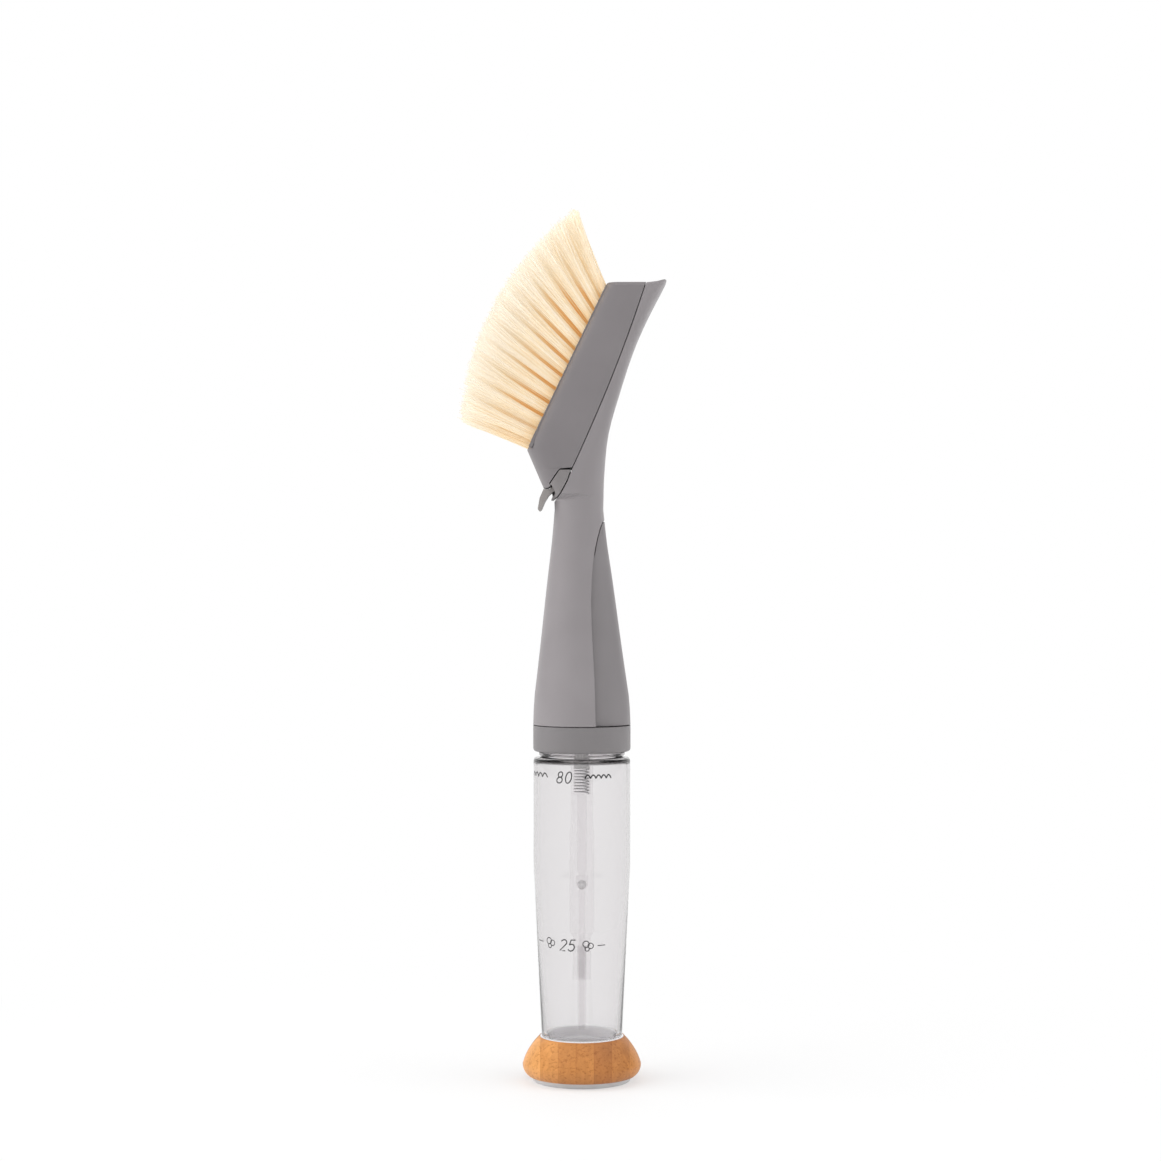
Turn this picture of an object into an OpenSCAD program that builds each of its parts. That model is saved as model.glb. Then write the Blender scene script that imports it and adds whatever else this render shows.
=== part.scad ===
// Dish wand: a dish brush that stands on its foot, with a soap bottle in the grip,
// a squeeze lever that works a foam pump, and a brush head that clips off.
// Z is up, the lever is on the +X side, the bristles face -X, and the bottle's axis is X = Y = 0.

/* [Foot and base] */
// Radius of the foot on the table
foot_r = 17.5; // [15:0.5:18.5]
// Height of the foot's flange below the wooden ring
foot_h = 2; // [1.5:0.5:3]
// Wall of the soft cup that grips the bottle
cup_wall = 1.5; // [1:0.1:2]
// Floor of the soft cup above the flange
cup_floor = 9.5; // [8:0.1:10]
// Widest radius of the wooden ring
base_r = 21.5; // [20:0.5:25]
// Height of the wooden ring
base_h = 14; // [12:0.5:18]

/* [Bottle] */
// Outer radius of the bottle below its shoulder
bottle_r = 17.6; // [16.5:0.1:17.7]
// Outer radius of the bottle where it meets the base
bottle_low_r = 14.6; // [14:0.1:16]
// Height of the bottle from its floor to its shoulder
bottle_h = 105.8; // [100:0.1:115]
// Length of the bottle's straight upper part
bottle_straight = 36; // [20:1:50]
// Wall of the bottle
bottle_wall = 1.4; // [1:0.1:1.8]
// Outer radius of the screw neck
neck_r = 13.8; // [13.5:0.1:14]
// Bore radius of the screw neck
neck_bore_r = 12.3; // [12:0.1:12.6]

/* [Collar] */
// Outer radius of the collar and of the grip's lower end
collar_r = 17.7; // [17.2:0.1:18.5]
// Height of the collar
collar_h = 9.4; // [9:0.1:12]
// Bore radius of the collar
collar_bore_r = 14.95; // [14.6:0.05:15.2]
// Gap between the bottle's shoulder and the collar
collar_gap = 2.2; // [2:0.1:4]
// Height of the collar's rim above its inner ledge
rim_h = 1.3; // [1.2:0.1:1.6]
// Thickness of the collar's inner ledge
ledge_h = 1.2; // [1:0.1:1.5]

/* [Pump] */
// Bore radius of the air cylinder
air_bore_r = 10; // [9.5:0.1:10.4]
// Wall of the air cylinder
air_wall = 1; // [0.8:0.1:1.2]
// Depth of the air cylinder below its flange
air_depth = 8.7; // [8.6:0.1:10]
// Thickness of the pump flange
flange_h = 1.2; // [1:0.1:1.5]
// Thickness of the mouth gasket
gasket_h = 1; // [0.8:0.1:1.5]
// Bore radius of the liquid cylinder
liquid_bore_r = 3.1; // [3:0.1:3.3]
// Wall of the liquid cylinder
liquid_wall = 1; // [0.8:0.1:1.2]
// Length of the liquid cylinder below the air cylinder
liquid_len = 26; // [24:1:30]
// Outer radius of the valve body
valve_r = 4.55; // [4.3:0.05:5]
// Length of the valve body
valve_len = 38; // [34:1:42]
// Outer radius of the inlet socket
inlet_r = 3.35; // [3:0.05:4]
// Length of the inlet socket
inlet_len = 16; // [13:1:18]
// Outer radius of the dip tube
dip_r = 1.6; // [1.4:0.1:1.8]
// Bore radius of the dip tube
dip_bore_r = 1; // [0.8:0.1:1.1]
// Height of the dip tube's end above the bottle's lower end
dip_end = 6.5; // [6:0.5:12]
// Radius of the check ball
ball_r = 1.75; // [1.6:0.05:1.8]
// Outer radius of the pump stem
stem_r = 2.3; // [2.2:0.05:2.4]
// Bore radius of the pump stem
stem_bore_r = 1.4; // [1.2:0.1:1.5]
// Outer radius of the foam tube
tube_r = 2.5; // [2.3:0.1:2.6]
// Bore radius of the foam tube
tube_bore_r = 1.7; // [1.4:0.1:1.8]
// Outer radius of the actuator cap
cap_r = 6.8; // [6.4:0.1:7.4]
// Wire thickness of the return spring
spring_wire = 0.5; // [0.4:0.05:0.6]
// Number of curls of the return spring
spring_curls = 8; // [6:1:9]

/* [Handle] */
// Length of the handle from the collar to the scraper's tip
handle_len = 160.4; // [150:0.1:180]
// Length of the grip from the collar to the waist
grip_len = 78; // [76:0.5:82]
// Depth of the waist, front to back
waist_depth = 17.7; // [17:0.1:20]
// Width of the waist
waist_width = 21.2; // [20:0.2:24]
// Wall of the handle shell
wall = 1.8; // [1.5:0.1:2.2]
// How far the scraper's tip reaches behind the bottle's axis
scraper_reach = 30.6; // [27:0.2:33]
// Height of the small bump on the scraper
scraper_lip = 0.8; // [0.5:0.1:1.5]

/* [Lever] */
// Length of the lever from the collar to its upper end
lever_len = 73.6; // [72:0.2:75]
// Wall of the lever
lever_wall = 1.8; // [1.5:0.1:2.2]
// How far the lever's sides reach inside the grip
lever_lap = 1.8; // [1:0.1:2]
// Angle that the lever swings inwards
lever_angle = 4.5; // [3:0.5:4.5]
// Radius of the lever's hinge pin
lever_pin_r = 0.9; // [0.7:0.1:1]
// Thickness of each rib inside the lever
rib_t = 2; // [1.6:0.1:2.2]

/* [Brush head] */
// Tilt of the bristle plate from the vertical
head_tilt = 25.7; // [20:0.1:28]
// Length of the bristle plate
plate_len = 66.3; // [64:0.1:70]
// Width of the brush head
head_width = 30; // [28:0.5:34]
// Depth of the brush head at its upper end
head_depth = 14.3; // [12:0.1:15]
// Thickness of the bristle plate
plate_t = 4.5; // [3.5:0.1:5]
// Thickness of the backing strip that holds the bristles
backing_t = 1.6; // [1.2:0.1:2]
// Angle between the level and the way the brush head comes off
release_angle = 21; // [18:0.5:24]

/* [Bristles] */
// Number of tufts along the plate
tuft_count = 12; // [10:1:12]
// Number of tufts across the plate
tuft_rows = 4; // [3:1:4]
// Strand width at the root
strand_w = 1; // [0.7:0.05:1.1]
// Strand width at the tip
strand_tip_w = 0.55; // [0.3:0.05:0.7]
// Width of the whole brush at the bristle tips
tip_width = 33; // [28:0.5:36]
// Length of the bristles at the middle of the brush
bristle_len = 34.5; // [30:0.5:37]
// Angle between the level and the bristles at the middle of the brush
bristle_lean = 41; // [35:1:45]

/* [Latch] */
// Radius of the latch pin
latch_pin_r = 0.8; // [0.6:0.1:1]
// Width of the latch between its two cheeks
latch_w = 10; // [9:0.5:11]
// Length of the finger tab below the latch pin
tab_len = 9; // [7:0.2:9]

/* [Fits] */
// Gap between moving parts and at visible joints
gap = 0.3; // [0.2:0.05:0.35]
// Gap round the latch's cheeks
cheek_gap = 0.45; // [0.3:0.05:0.5]
// Gap where two still parts meet inside
fit = 0.05; // [0.02:0.01:0.1]
// Gap between the lever and the shell's side walls
side_gap = 0.4; // [0.3:0.05:0.6]

/* [Hidden] */

$fn = 96;

// Heights of the base and the bottle
floor_z = foot_h + cup_floor;
base_top = foot_h + base_h;
plug_r = bottle_low_r - 1;
cup_bore_r = plug_r + fit;
cup_r = cup_bore_r + cup_wall;
shoulder_z = floor_z + bottle_h;
bead_r = neck_r + 1.8;
bead_h = 1.2;

// Stack at the bottle's mouth
collar_z = shoulder_z + collar_gap;
collar_top = collar_z + collar_h;
ledge_top = collar_top - rim_h;
ledge_z = ledge_top - ledge_h;
flange_top = ledge_z - 2 * fit;
flange_z = flange_top - flange_h;
gasket_z = flange_z - gasket_h;
mouth_z = gasket_z - fit;
flange_r = collar_bore_r - gap - 1;
rim_w = 1.3;
ledge_hole_r = 12.2;
sleeve_r = ledge_hole_r - 0.2;
sleeve_bore_r = air_bore_r - 1;

// Pump heights at rest
air_r = air_bore_r + air_wall;
air_floor_z = flange_z - air_depth;
cylinder_z = air_floor_z + air_wall;
liquid_r = liquid_bore_r + liquid_wall;
valve_top_z = air_floor_z - liquid_len;
valve_z = valve_top_z - valve_len;
inlet_z = valve_z - inlet_len;
dip_socket = 12;
dip_bottom = floor_z + dip_end;
spring_seat_z = air_floor_z - 12.5;
seat_z = valve_z + 0.45 * valve_len;
seat_bore_r = 1.2;
chamber_r = 2.3;
ball_z = seat_z + (ball_r + fit) * sqrt(2) - seat_bore_r;
ball_lift = 1.2;
chamber_top = ball_z + ball_r + ball_lift + gap;
passage_r = 1.8;

// Lever hinge, nose and stroke
handle_z = collar_top + gap;
waist_z = handle_z + grip_len;
lever_pin = [3.9, waist_z - 10.7];
nose_r = 2.2;
nose = [8.5, handle_z + 20.3];
nose_arm = [nose[0] - lever_pin[0], nose[1] - lever_pin[1]];
stroke_per_rad = nose_arm[0] - nose_arm[1];
stroke = stroke_per_rad * lever_angle * PI / 180;
lever_hub_r = 2.1;
rib_in = tube_r + 0.4;

// Plunger heights at rest, from the bottom of the air cylinder upwards
piston_z = cylinder_z + stroke + gap;
piston_h = 3.6;
cap_z = piston_z + piston_h;
stem_top = cap_z + 8;
chamber_z = stem_top + 2.2;
holder_r = 3.4;
holder_h = 8.8;
tube_z = chamber_z + holder_h + gap;
liquid_piston_h = 3.5;
stem_z = cylinder_z - 0.6 - liquid_piston_h;
tube_top = waist_z + 7;
wedge_c = nose[0] + nose[1] - (nose_r + 2 * fit) * sqrt(2);

// Outline of the handle in side view, as shares of named sizes
waist_front = -waist_depth / 2 - 1.05;
waist_back = waist_depth / 2 - 1.05;
GRIP_FLARE = [[0, 1], [0.115, 0.955], [0.226, 0.83], [0.385, 0.65], [0.667, 0.345], [0.846, 0.135], [1, 0]];
BACK_RISE = [[0, 0], [0.16, 0.018], [0.335, 0.085], [0.52, 0.27], [0.705, 0.49], [0.845, 0.71], [1, 1]];
WIDTH_RISE = [[0, 0], [0.08, 0.02], [0.18, 0.42], [0.27, 0.85], [0.36, 1], [1, 1]];
SQUARENESS = [[0, 2], [0.06, 2.2], [0.2, 3.5], [0.36, 6], [1, 6]];
PARTING = [[0, 5], [0.23, 4.5], [0.46, 3.6], [0.6, 3.3], [0.69, 3.5], [0.785, 3.9],
    [0.855, 4.6], [0.915, 5.5], [0.965, 6.5], [1, 7.5], [1.015, 8.8]];
top_z = handle_z + handle_len;
head_span = top_z - waist_z;
deck_z = top_z - scraper_lip;

// Bristle plate: its heel corner and its directions in side view
heel = [-19.8, waist_z + 21.5];
plate_up = [sin(head_tilt), cos(head_tilt)];
plate_out = [-cos(head_tilt), sin(head_tilt)];
toe = heel + plate_len * plate_up;
lip = [-13.6, waist_z + 7.1];

// Seam between the handle's spine and the brush head
seam_low = [-3.6, waist_z + 14.1];
seam_top = [toe[0] + head_depth, deck_z];
seam_bulge = 1.3;
release_dir = [-cos(release_angle), sin(release_angle)];
release_turn = release_angle - 90;

// Front edge of the handle beside the latch, and the latch frame's own front edge
LOCK_BACK = [[2.9, -10], [5.7, -7.5], [10.4, -4.9], [14.1, -3.6]];
LOCK_FRONT = [[2.9, -10], [6.1, -9.6], [9.4, -11.3], [13.7, -8.3], [14.8, -7]];
lock_low = waist_z + LOCK_BACK[0][0];
lock_top = waist_z + LOCK_FRONT[len(LOCK_FRONT) - 1][0];
latch_axis = [-8.2, waist_z + 8.4];

// Foam nozzle on the seam, and where its duct leaves the bristle plate
nozzle_z = waist_z + 23.7;
nozzle_bore_r = 1.5;
nozzle_r = 2.9;
nozzle_flange_r = 4;
nozzle_reach = 4;
nozzle_at = [seam_x(nozzle_z), nozzle_z];
duct_r = 1.6;
duct_len = dot(heel - nozzle_at, plate_out) / dot(release_dir, plate_out);
outlet = nozzle_at + duct_len * release_dir;
outlet_u = dot(outlet - heel, plate_up);

// Tuft grid on the backing strip
tuft_margin = 1.4;
rim_margin = 2.6;
tuft_pitch = (plate_len - 2 * tuft_margin) / tuft_count;
row_pitch = (head_width - 2 * rim_margin) / tuft_rows;
strand_step = 1.38;
bare_tuft = floor((outlet_u - tuft_margin) / tuft_pitch);

function dot(a, b) = a[0] * b[0] + a[1] * b[1];

// Smooth curve through the points [s, value] of a table
function slope_at(t, i) =
    let (a = max(i - 1, 0), b = min(i + 1, len(t) - 1))
    (t[b][1] - t[a][1]) / (t[b][0] - t[a][0]);
function piece_of(t, s, i = 0) = i >= len(t) - 2 || s < t[i + 1][0] ? i : piece_of(t, s, i + 1);
function smooth_at(t, s) =
    let (i = piece_of(t, s), h = t[i + 1][0] - t[i][0], u = (s - t[i][0]) / h)
    let (m0 = slope_at(t, i) * h, m1 = slope_at(t, i + 1) * h)
    (2 * u ^ 3 - 3 * u ^ 2 + 1) * t[i][1] + (u ^ 3 - 2 * u ^ 2 + u) * m0
    + (3 * u ^ 2 - 2 * u ^ 3) * t[i + 1][1] + (u ^ 3 - u ^ 2) * m1;

// Points of a quadratic curve from a to c, bent towards b, without its first point
function bend(a, b, c, n = 5) =
    [for (i = [1 : n]) let (u = i / n) (1 - u) ^ 2 * a + 2 * u * (1 - u) * b + u ^ 2 * c];

// Edges of the outer form at height z
function grip_share(z) = smooth_at(GRIP_FLARE, (z - handle_z) / grip_len);
function head_share(z) = (z - waist_z) / head_span;
function back_x(z) = z < waist_z
    ? waist_back + (collar_r - waist_back) * grip_share(z)
    : waist_back + (scraper_reach - waist_back) * smooth_at(BACK_RISE, head_share(z));
function front_x(z) = z < waist_z
    ? waist_front - (collar_r + waist_front) * grip_share(z)
    : lookup(z, [[waist_z, waist_front], [lock_low, LOCK_BACK[0][1]], [lip[1], lip[0]],
        [heel[1], heel[0]], [toe[1], toe[0]], [top_z, toe[0] + (top_z - toe[1]) * tan(head_tilt)]]);
function half_width(z) = z < waist_z
    ? waist_width / 2 + (collar_r - waist_width / 2) * grip_share(z)
    : waist_width / 2 + (head_width - waist_width) / 2 * smooth_at(WIDTH_RISE, head_share(z));
function squareness(z) = z < waist_z ? 2 : smooth_at(SQUARENESS, head_share(z));
function seam_x(z) =
    let (s = (z - seam_low[1]) / (seam_top[1] - seam_low[1]))
    seam_low[0] + (seam_top[0] - seam_low[0]) * s + 4 * seam_bulge * s * (1 - s);
function parting_x(z) = smooth_at(PARTING, (z - handle_z) / lever_len);
function lock_x(edge, z) = lookup(z - waist_z, edge);
function spine_x(z) = z < seam_low[1] ? lock_x(LOCK_BACK, z) : seam_x(z);
function head_limit_x(z) = z < lip[1] + 1.3
    ? lip[0] + 2 * (z - lip[1])
    : z < lock_top ? lock_x(LOCK_FRONT, z) - cheek_gap : seam_x(z) - gap;

// A section is [centre x, half depth, half width, squareness]
function section(z, side, front, back) =
    let (f = front_x(z) + front, b = back_x(z) - back)
    [(f + b) / 2, (b - f) / 2, half_width(z) - side, squareness(z)];
function round_pow(v, e) = sign(v) * pow(abs(v), 2 / e);
function on_section(s, t) = [s[0] + s[1] * round_pow(cos(t), s[3]), s[2] * round_pow(sin(t), s[3])];
function angle_at(s, x) =
    let (k = min(max((x - s[0]) / s[1], -1), 1))
    acos(sign(k) * pow(abs(k), s[3] / 2));

// Closed ring of a section, cut flat at x = cut on its front side, with BACK_STEPS steps round the back
BACK_STEPS = 32;
FRONT_STEPS = 8;
function closed_ring(z, s, cut) =
    let (t = cut == undef ? 150 : angle_at(s, cut), corner = on_section(s, t))
    concat(
        [for (i = [0 : BACK_STEPS]) let (p = on_section(s, -t + 2 * t * i / BACK_STEPS)) [p[0], p[1], z]],
        [for (i = [1 : FRONT_STEPS - 1])
            let (u = i / FRONT_STEPS)
            cut == undef
                ? let (p = on_section(s, t + (360 - 2 * t) * u)) [p[0], p[1], z]
                : [cut, corner[1] * (1 - 2 * u), z]]);

// Ring of an open shell: an outer arc and an inner arc that end on x = cut. With hollow = 0 the
// inner arc lies flat on the cut, and the shell is solid there.
ARC_STEPS = 22;
function shell_ring(z, outer, inner, cut, back, hollow) =
    let (t = angle_at(outer, cut), q = angle_at(inner, cut), y_end = on_section(outer, t)[1])
    let (turn = back ? 1 : -1)
    concat(
        [for (i = [0 : ARC_STEPS])
            let (u = 2 * i / ARC_STEPS - 1, a = back ? t * u : 180 + (180 - t) * u)
            let (p = on_section(outer, a)) [p[0], p[1], z]],
        [for (i = [0 : ARC_STEPS])
            let (u = 1 - 2 * i / ARC_STEPS, a = back ? q * u : 180 + (180 - q) * u)
            let (v = 1 - 2 * (i + 1) / (ARC_STEPS + 2))
            hollow
                ? let (p = on_section(inner, a)) [p[0], p[1], z]
                : [cut, turn * y_end * v, z]]);

// Solid through a list of rings with equal counts, closed at both ends round each ring's middle
module skin(rings) {
    n = len(rings[0]);
    m = len(rings);
    ones = [for (p = rings[0]) 1];
    middle = [for (r = [rings[0], rings[m - 1]]) [for (k = [0 : 2]) [for (p = r) p[k]] * ones / n]];
    polyhedron(concat([for (r = rings) for (p = r) p], middle), concat(
        [for (k = [0 : m - 2]) for (i = [0 : n - 1])
            [k * n + i, (k + 1) * n + i, (k + 1) * n + (i + 1) % n]],
        [for (k = [0 : m - 2]) for (i = [0 : n - 1])
            [k * n + i, (k + 1) * n + (i + 1) % n, k * n + (i + 1) % n]],
        [for (i = [0 : n - 1]) [m * n, i, (i + 1) % n]],
        [for (i = [0 : n - 1]) [m * n + 1, (m - 1) * n + (i + 1) % n, (m - 1) * n + i]]));
}

// The same for rings of an open shell, whose ends are strips between the two arcs
module shell_skin(rings) {
    n = len(rings[0]);
    m = len(rings);
    h = n / 2;
    polyhedron([for (r = rings) for (p = r) p], concat(
        [for (k = [0 : m - 2]) for (i = [0 : n - 1])
            [k * n + i, (k + 1) * n + i, (k + 1) * n + (i + 1) % n]],
        [for (k = [0 : m - 2]) for (i = [0 : n - 1])
            [k * n + i, (k + 1) * n + (i + 1) % n, k * n + (i + 1) % n]],
        [for (i = [0 : h - 2]) i < h / 2 ? [i, i + 1, n - 1 - i] : [i, i + 1, n - 2 - i]],
        [for (i = [0 : h - 2]) i < h / 2 ? [i + 1, n - 2 - i, n - 1 - i] : [i, n - 2 - i, n - 1 - i]],
        [for (i = [0 : h - 2]) let (o = (m - 1) * n, a = o + i, b = o + n - 1 - i)
            i < h / 2 ? [a, b, a + 1] : [a, b - 1, a + 1]],
        [for (i = [0 : h - 2]) let (o = (m - 1) * n, a = o + i, b = o + n - 1 - i)
            i < h / 2 ? [a + 1, b, b - 1] : [a, b, b - 1]]));
}

// Round tube of radius r along a list of points, with sides flat faces round it
function unit(v) = v / norm(v);
function along(p, i) = unit(p[min(i + 1, len(p) - 1)] - p[max(i - 1, 0)]);
module swept_wire(path, r, axis, sides = 6) {
    n = len(path);
    rings = [for (i = [0 : n - 1])
        let (d = along(path, i), a = unit(cross(d, axis)), b = cross(d, a))
        [for (k = [0 : sides - 1]) path[i] + r * (cos(360 * k / sides) * a + sin(360 * k / sides) * b)]];
    skin(rings);
}

// Side-view outline extruded across the width
module across(width) {
    rotate([90, 0, 0]) translate([0, 0, -width / 2]) linear_extrude(width) children();
}

// Round bar across the width at a side-view point
module cross_bar(at, r, width) {
    translate([at[0], width / 2, at[1]]) rotate([90, 0, 0]) cylinder(h = width, r = r, $fn = 48);
}

// Round bar from a side-view point along the way the brush head comes off
module release_bar(at, r, length, start = 0) {
    translate([at[0], 0, at[1]]) rotate([0, release_turn, 0]) translate([0, 0, start])
        cylinder(h = length, r = r, $fn = 48);
}

function z_steps(a, b, n) = [for (i = [0 : n]) a + (b - a) * i / n];

module foot() {
    color("gainsboro") rotate_extrude() polygon([
        [0, 0], [foot_r, 0], [foot_r + 1.2, foot_h], [cup_r, foot_h], [cup_r, base_top],
        [cup_bore_r, base_top], [cup_bore_r, floor_z], [0, floor_z]]);
}

module base_ring() {
    bore_r = cup_r + fit;
    widest_z = foot_h + 0.29 * base_h;
    under = [base_r - 2, foot_h];
    widest = [base_r, widest_z];
    top = [bore_r + 0.3, base_top];
    color("peru") rotate_extrude() polygon(concat(
        [[bore_r, foot_h], under],
        bend(under, [base_r, foot_h + 1.5], widest),
        bend(widest, [base_r - 1.5, foot_h + 0.68 * base_h], top, 7),
        [[bore_r, base_top]]));
}

module bottle() {
    straight_z = shoulder_z - bottle_straight;
    bend_z = straight_z - 10;
    plug_in = plug_r - bottle_wall;
    low = [bottle_low_r, base_top];
    low_bend = [bottle_r - 0.4, bend_z];
    shoulder = [bottle_r - 1.4, shoulder_z];
    inner_low = [bottle_low_r - bottle_wall, base_top + 1];
    color("aliceblue", 0.5) rotate_extrude() polygon(concat(
        [[0, floor_z], [plug_r - 1, floor_z], [plug_r, floor_z + 1], [plug_r, base_top], low],
        [low_bend],
        bend(low_bend, [bottle_r, straight_z - 4], [bottle_r, straight_z], 3),
        [[bottle_r, shoulder_z - 1.4]],
        bend([bottle_r, shoulder_z - 1.4], [bottle_r, shoulder_z], shoulder, 4),
        [[neck_r + 0.8, shoulder_z + 0.2], [neck_r + 0.8, shoulder_z + 0.8], [bead_r, shoulder_z + 0.8],
            [bead_r, shoulder_z + 0.8 + bead_h - fit], [neck_r, shoulder_z + 0.8 + bead_h - fit],
            [neck_r, mouth_z], [neck_bore_r, mouth_z], [neck_bore_r, shoulder_z - bottle_wall]],
        bend([neck_bore_r, shoulder_z - bottle_wall],
            [bottle_r - bottle_wall, shoulder_z - bottle_wall], [bottle_r - bottle_wall, shoulder_z - 5], 4),
        [[bottle_r - bottle_wall, straight_z], [low_bend[0] - bottle_wall, bend_z], inner_low,
            [plug_in, base_top - 1], [plug_in, floor_z + bottle_wall + 1.2],
            [plug_in - 1.2, floor_z + bottle_wall]],
        bend([plug_in - 1.2, floor_z + bottle_wall], [plug_in / 2, floor_z + bottle_wall + 2.2],
            [0, floor_z + bottle_wall + 2.2], 4)));
}

module collar() {
    round_r = 1.3;
    color("dimgray") rotate_extrude() polygon(concat(
        [[collar_bore_r, collar_z], [collar_r - round_r, collar_z]],
        bend([collar_r - round_r, collar_z], [collar_r, collar_z], [collar_r, collar_z + round_r]),
        [[collar_r, collar_top], [collar_r - rim_w, collar_top], [collar_r - rim_w, ledge_top],
            [ledge_hole_r, ledge_top], [ledge_hole_r, ledge_z], [collar_bore_r, ledge_z]]));
}

cavity_top = lever_pin[1] + 3;
module handle_skin() {
    inner = [for (z = concat(z_steps(cavity_top, waist_z - 30, 3), z_steps(waist_z - 36, handle_z, 8)))
        closed_ring(z, section(z, wall, wall, wall), undef)];
    grip = [for (z = z_steps(handle_z, waist_z, 14)) closed_ring(z, section(z, 0, 0, 0), undef)];
    lock = [for (d = [1, 2.8]) closed_ring(waist_z + d, section(waist_z + d, 0, 0, 0), undef)];
    spine = [for (z = concat([lock_low + 0.5], z_steps(lock_low + 2.8, seam_low[1], 4),
            z_steps(seam_low[1] + 4, deck_z - 1, 13)))
        closed_ring(z, section(z, 0, 0, 0), spine_x(z))];
    rim = closed_ring(deck_z - 1, section(deck_z - 1, 0, 0, 0), spine_x(deck_z - 1));
    deck = [for (p = rim)
        let (rise = lookup(p[0] - seam_top[0], [[0, -0.6], [3.3, 0], [5.5, 1]]))
        [p[0] + 0.5 + 0.4 * rise, p[1] * 0.96, deck_z + scraper_lip * rise]];
    skin(concat(inner, grip, lock, spine, [deck]));
}

// Fin in the middle of the width that closes the view through the parting line above the hinge
fin_w = 2;
module parting_fin(width, reach, high) {
    zs = z_steps(lever_pin[1] + 1.2, high, 6);
    across(width) polygon(concat([for (z = zs) [min(parting_x(z) + reach, back_x(z) - 0.3), z]],
        [for (k = [6 : -1 : 0]) [parting_x(zs[k]) - 1.5, zs[k]]]));
}

module handle_shell() {
    slot_w = 2 * (rib_in + rib_t) + 2 * gap;
    boss_w = slot_w + 5.6;
    hinge = [lever_pin[0], lever_pin[1]];
    color("gray") difference() {
        union() {
            handle_skin();
            for (side = [-1, 1]) translate([1.2, side * (slot_w + boss_w) / 4, hinge[1]])
                translate([0, -(boss_w - slot_w) / 4, -2.3]) cube([3.9, (boss_w - slot_w) / 2, 4.6]);
        }
        across(60) polygon(concat(
            [[40, handle_z - 1], [parting_x(handle_z), handle_z - 1]],
            [for (p = PARTING) [p[1], handle_z + p[0] * lever_len]],
            [[40, handle_z + PARTING[len(PARTING) - 1][0] * lever_len]]));
        cross_bar(hinge, lever_pin_r + fit, 2 * 8);
        translate([0, 0, cavity_top - 1]) cylinder(h = nozzle_z - cavity_top + 1, r = tube_r + 0.1);
        release_bar(nozzle_at, nozzle_bore_r, 5, -4.5);
        release_bar(nozzle_at, nozzle_flange_r + fit, 4, -1.2);
    }
    color("gray") parting_fin(fin_w, 0.35, handle_z + lever_len + 1);
}

module pump_carrier() {
    plate_z = ledge_top + 2 * gap;
    plate_top = handle_z + 2;
    color("silver") union() {
        rotate_extrude() polygon([[sleeve_bore_r, flange_top], [sleeve_r, flange_top],
            [sleeve_r, ledge_top + gap], [sleeve_bore_r, ledge_top + gap]]);
        intersection() {
            rotate_extrude() polygon([[sleeve_bore_r + 0.5, ledge_top + gap], [sleeve_r, ledge_top + gap],
                [sleeve_r, handle_z + fit], [collar_r - wall - 2 * fit, handle_z + fit],
                [collar_r - wall - 2 * fit, plate_top], [sleeve_bore_r + 0.5, plate_top]]);
            translate([-30, -30, plate_z - 5]) cube([27, 60, 20]);
        }
    }
}

module pump_housing() {
    color("whitesmoke", 0.7) rotate_extrude() polygon([
        [air_bore_r, flange_top], [flange_r, flange_top], [flange_r, flange_z], [air_r, flange_z],
        [air_r, air_floor_z], [liquid_r, air_floor_z], [liquid_r, valve_top_z + 1.5],
        [valve_r, valve_top_z - 0.5], [valve_r, valve_z + 1.5], [inlet_r, valve_z - 0.5],
        [inlet_r, inlet_z], [dip_r + fit, inlet_z], [dip_r + fit, inlet_z + dip_socket],
        [seat_bore_r, inlet_z + dip_socket], [seat_bore_r, seat_z],
        [chamber_r, seat_z + chamber_r - seat_bore_r], [chamber_r, chamber_top],
        [seat_bore_r, chamber_top], [seat_bore_r, chamber_top + 1], [passage_r, chamber_top + 2],
        [passage_r, spring_seat_z], [liquid_bore_r, spring_seat_z], [liquid_bore_r, cylinder_z],
        [air_bore_r, cylinder_z]]);
}

module dip_tube() {
    color("white", 0.7) translate([0, 0, dip_bottom]) difference() {
        cylinder(h = inlet_z + dip_socket - dip_bottom, r = dip_r);
        translate([0, 0, -1]) cylinder(h = bottle_h, r = dip_bore_r);
    }
}

module mouth_gasket() {
    color("white") translate([0, 0, gasket_z]) difference() {
        cylinder(h = gasket_h, r = flange_r);
        translate([0, 0, -1]) cylinder(h = gasket_h + 2, r = air_r + fit);
    }
}

// Front edge of the lever's sides, which reach inside the grip except near the hinge
function lever_front(z) =
    parting_x(z) + gap - lookup(z, [[lever_pin[1] - 12, lever_lap], [lever_pin[1] - 6, 0]]);

// How far the lever's sides stand in from the outer form, so that they clear the grip's inner wall
function lever_side(z) =
    let (h = min(z, lever_pin[1] - 2.5), s = section(h, 0, 0, 0), q = section(h, wall, wall, wall))
    let (p = parting_x(h), inner_y = q[2] * sqrt(1 - ((p - q[0]) / q[1]) ^ 2))
    s[2] - (inner_y - side_gap) / sqrt(1 - ((p - s[0]) / s[1]) ^ 2);

module lever_pin() {
    color("silver") cross_bar(lever_pin, lever_pin_r, 2 * 7.9);
}

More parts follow.
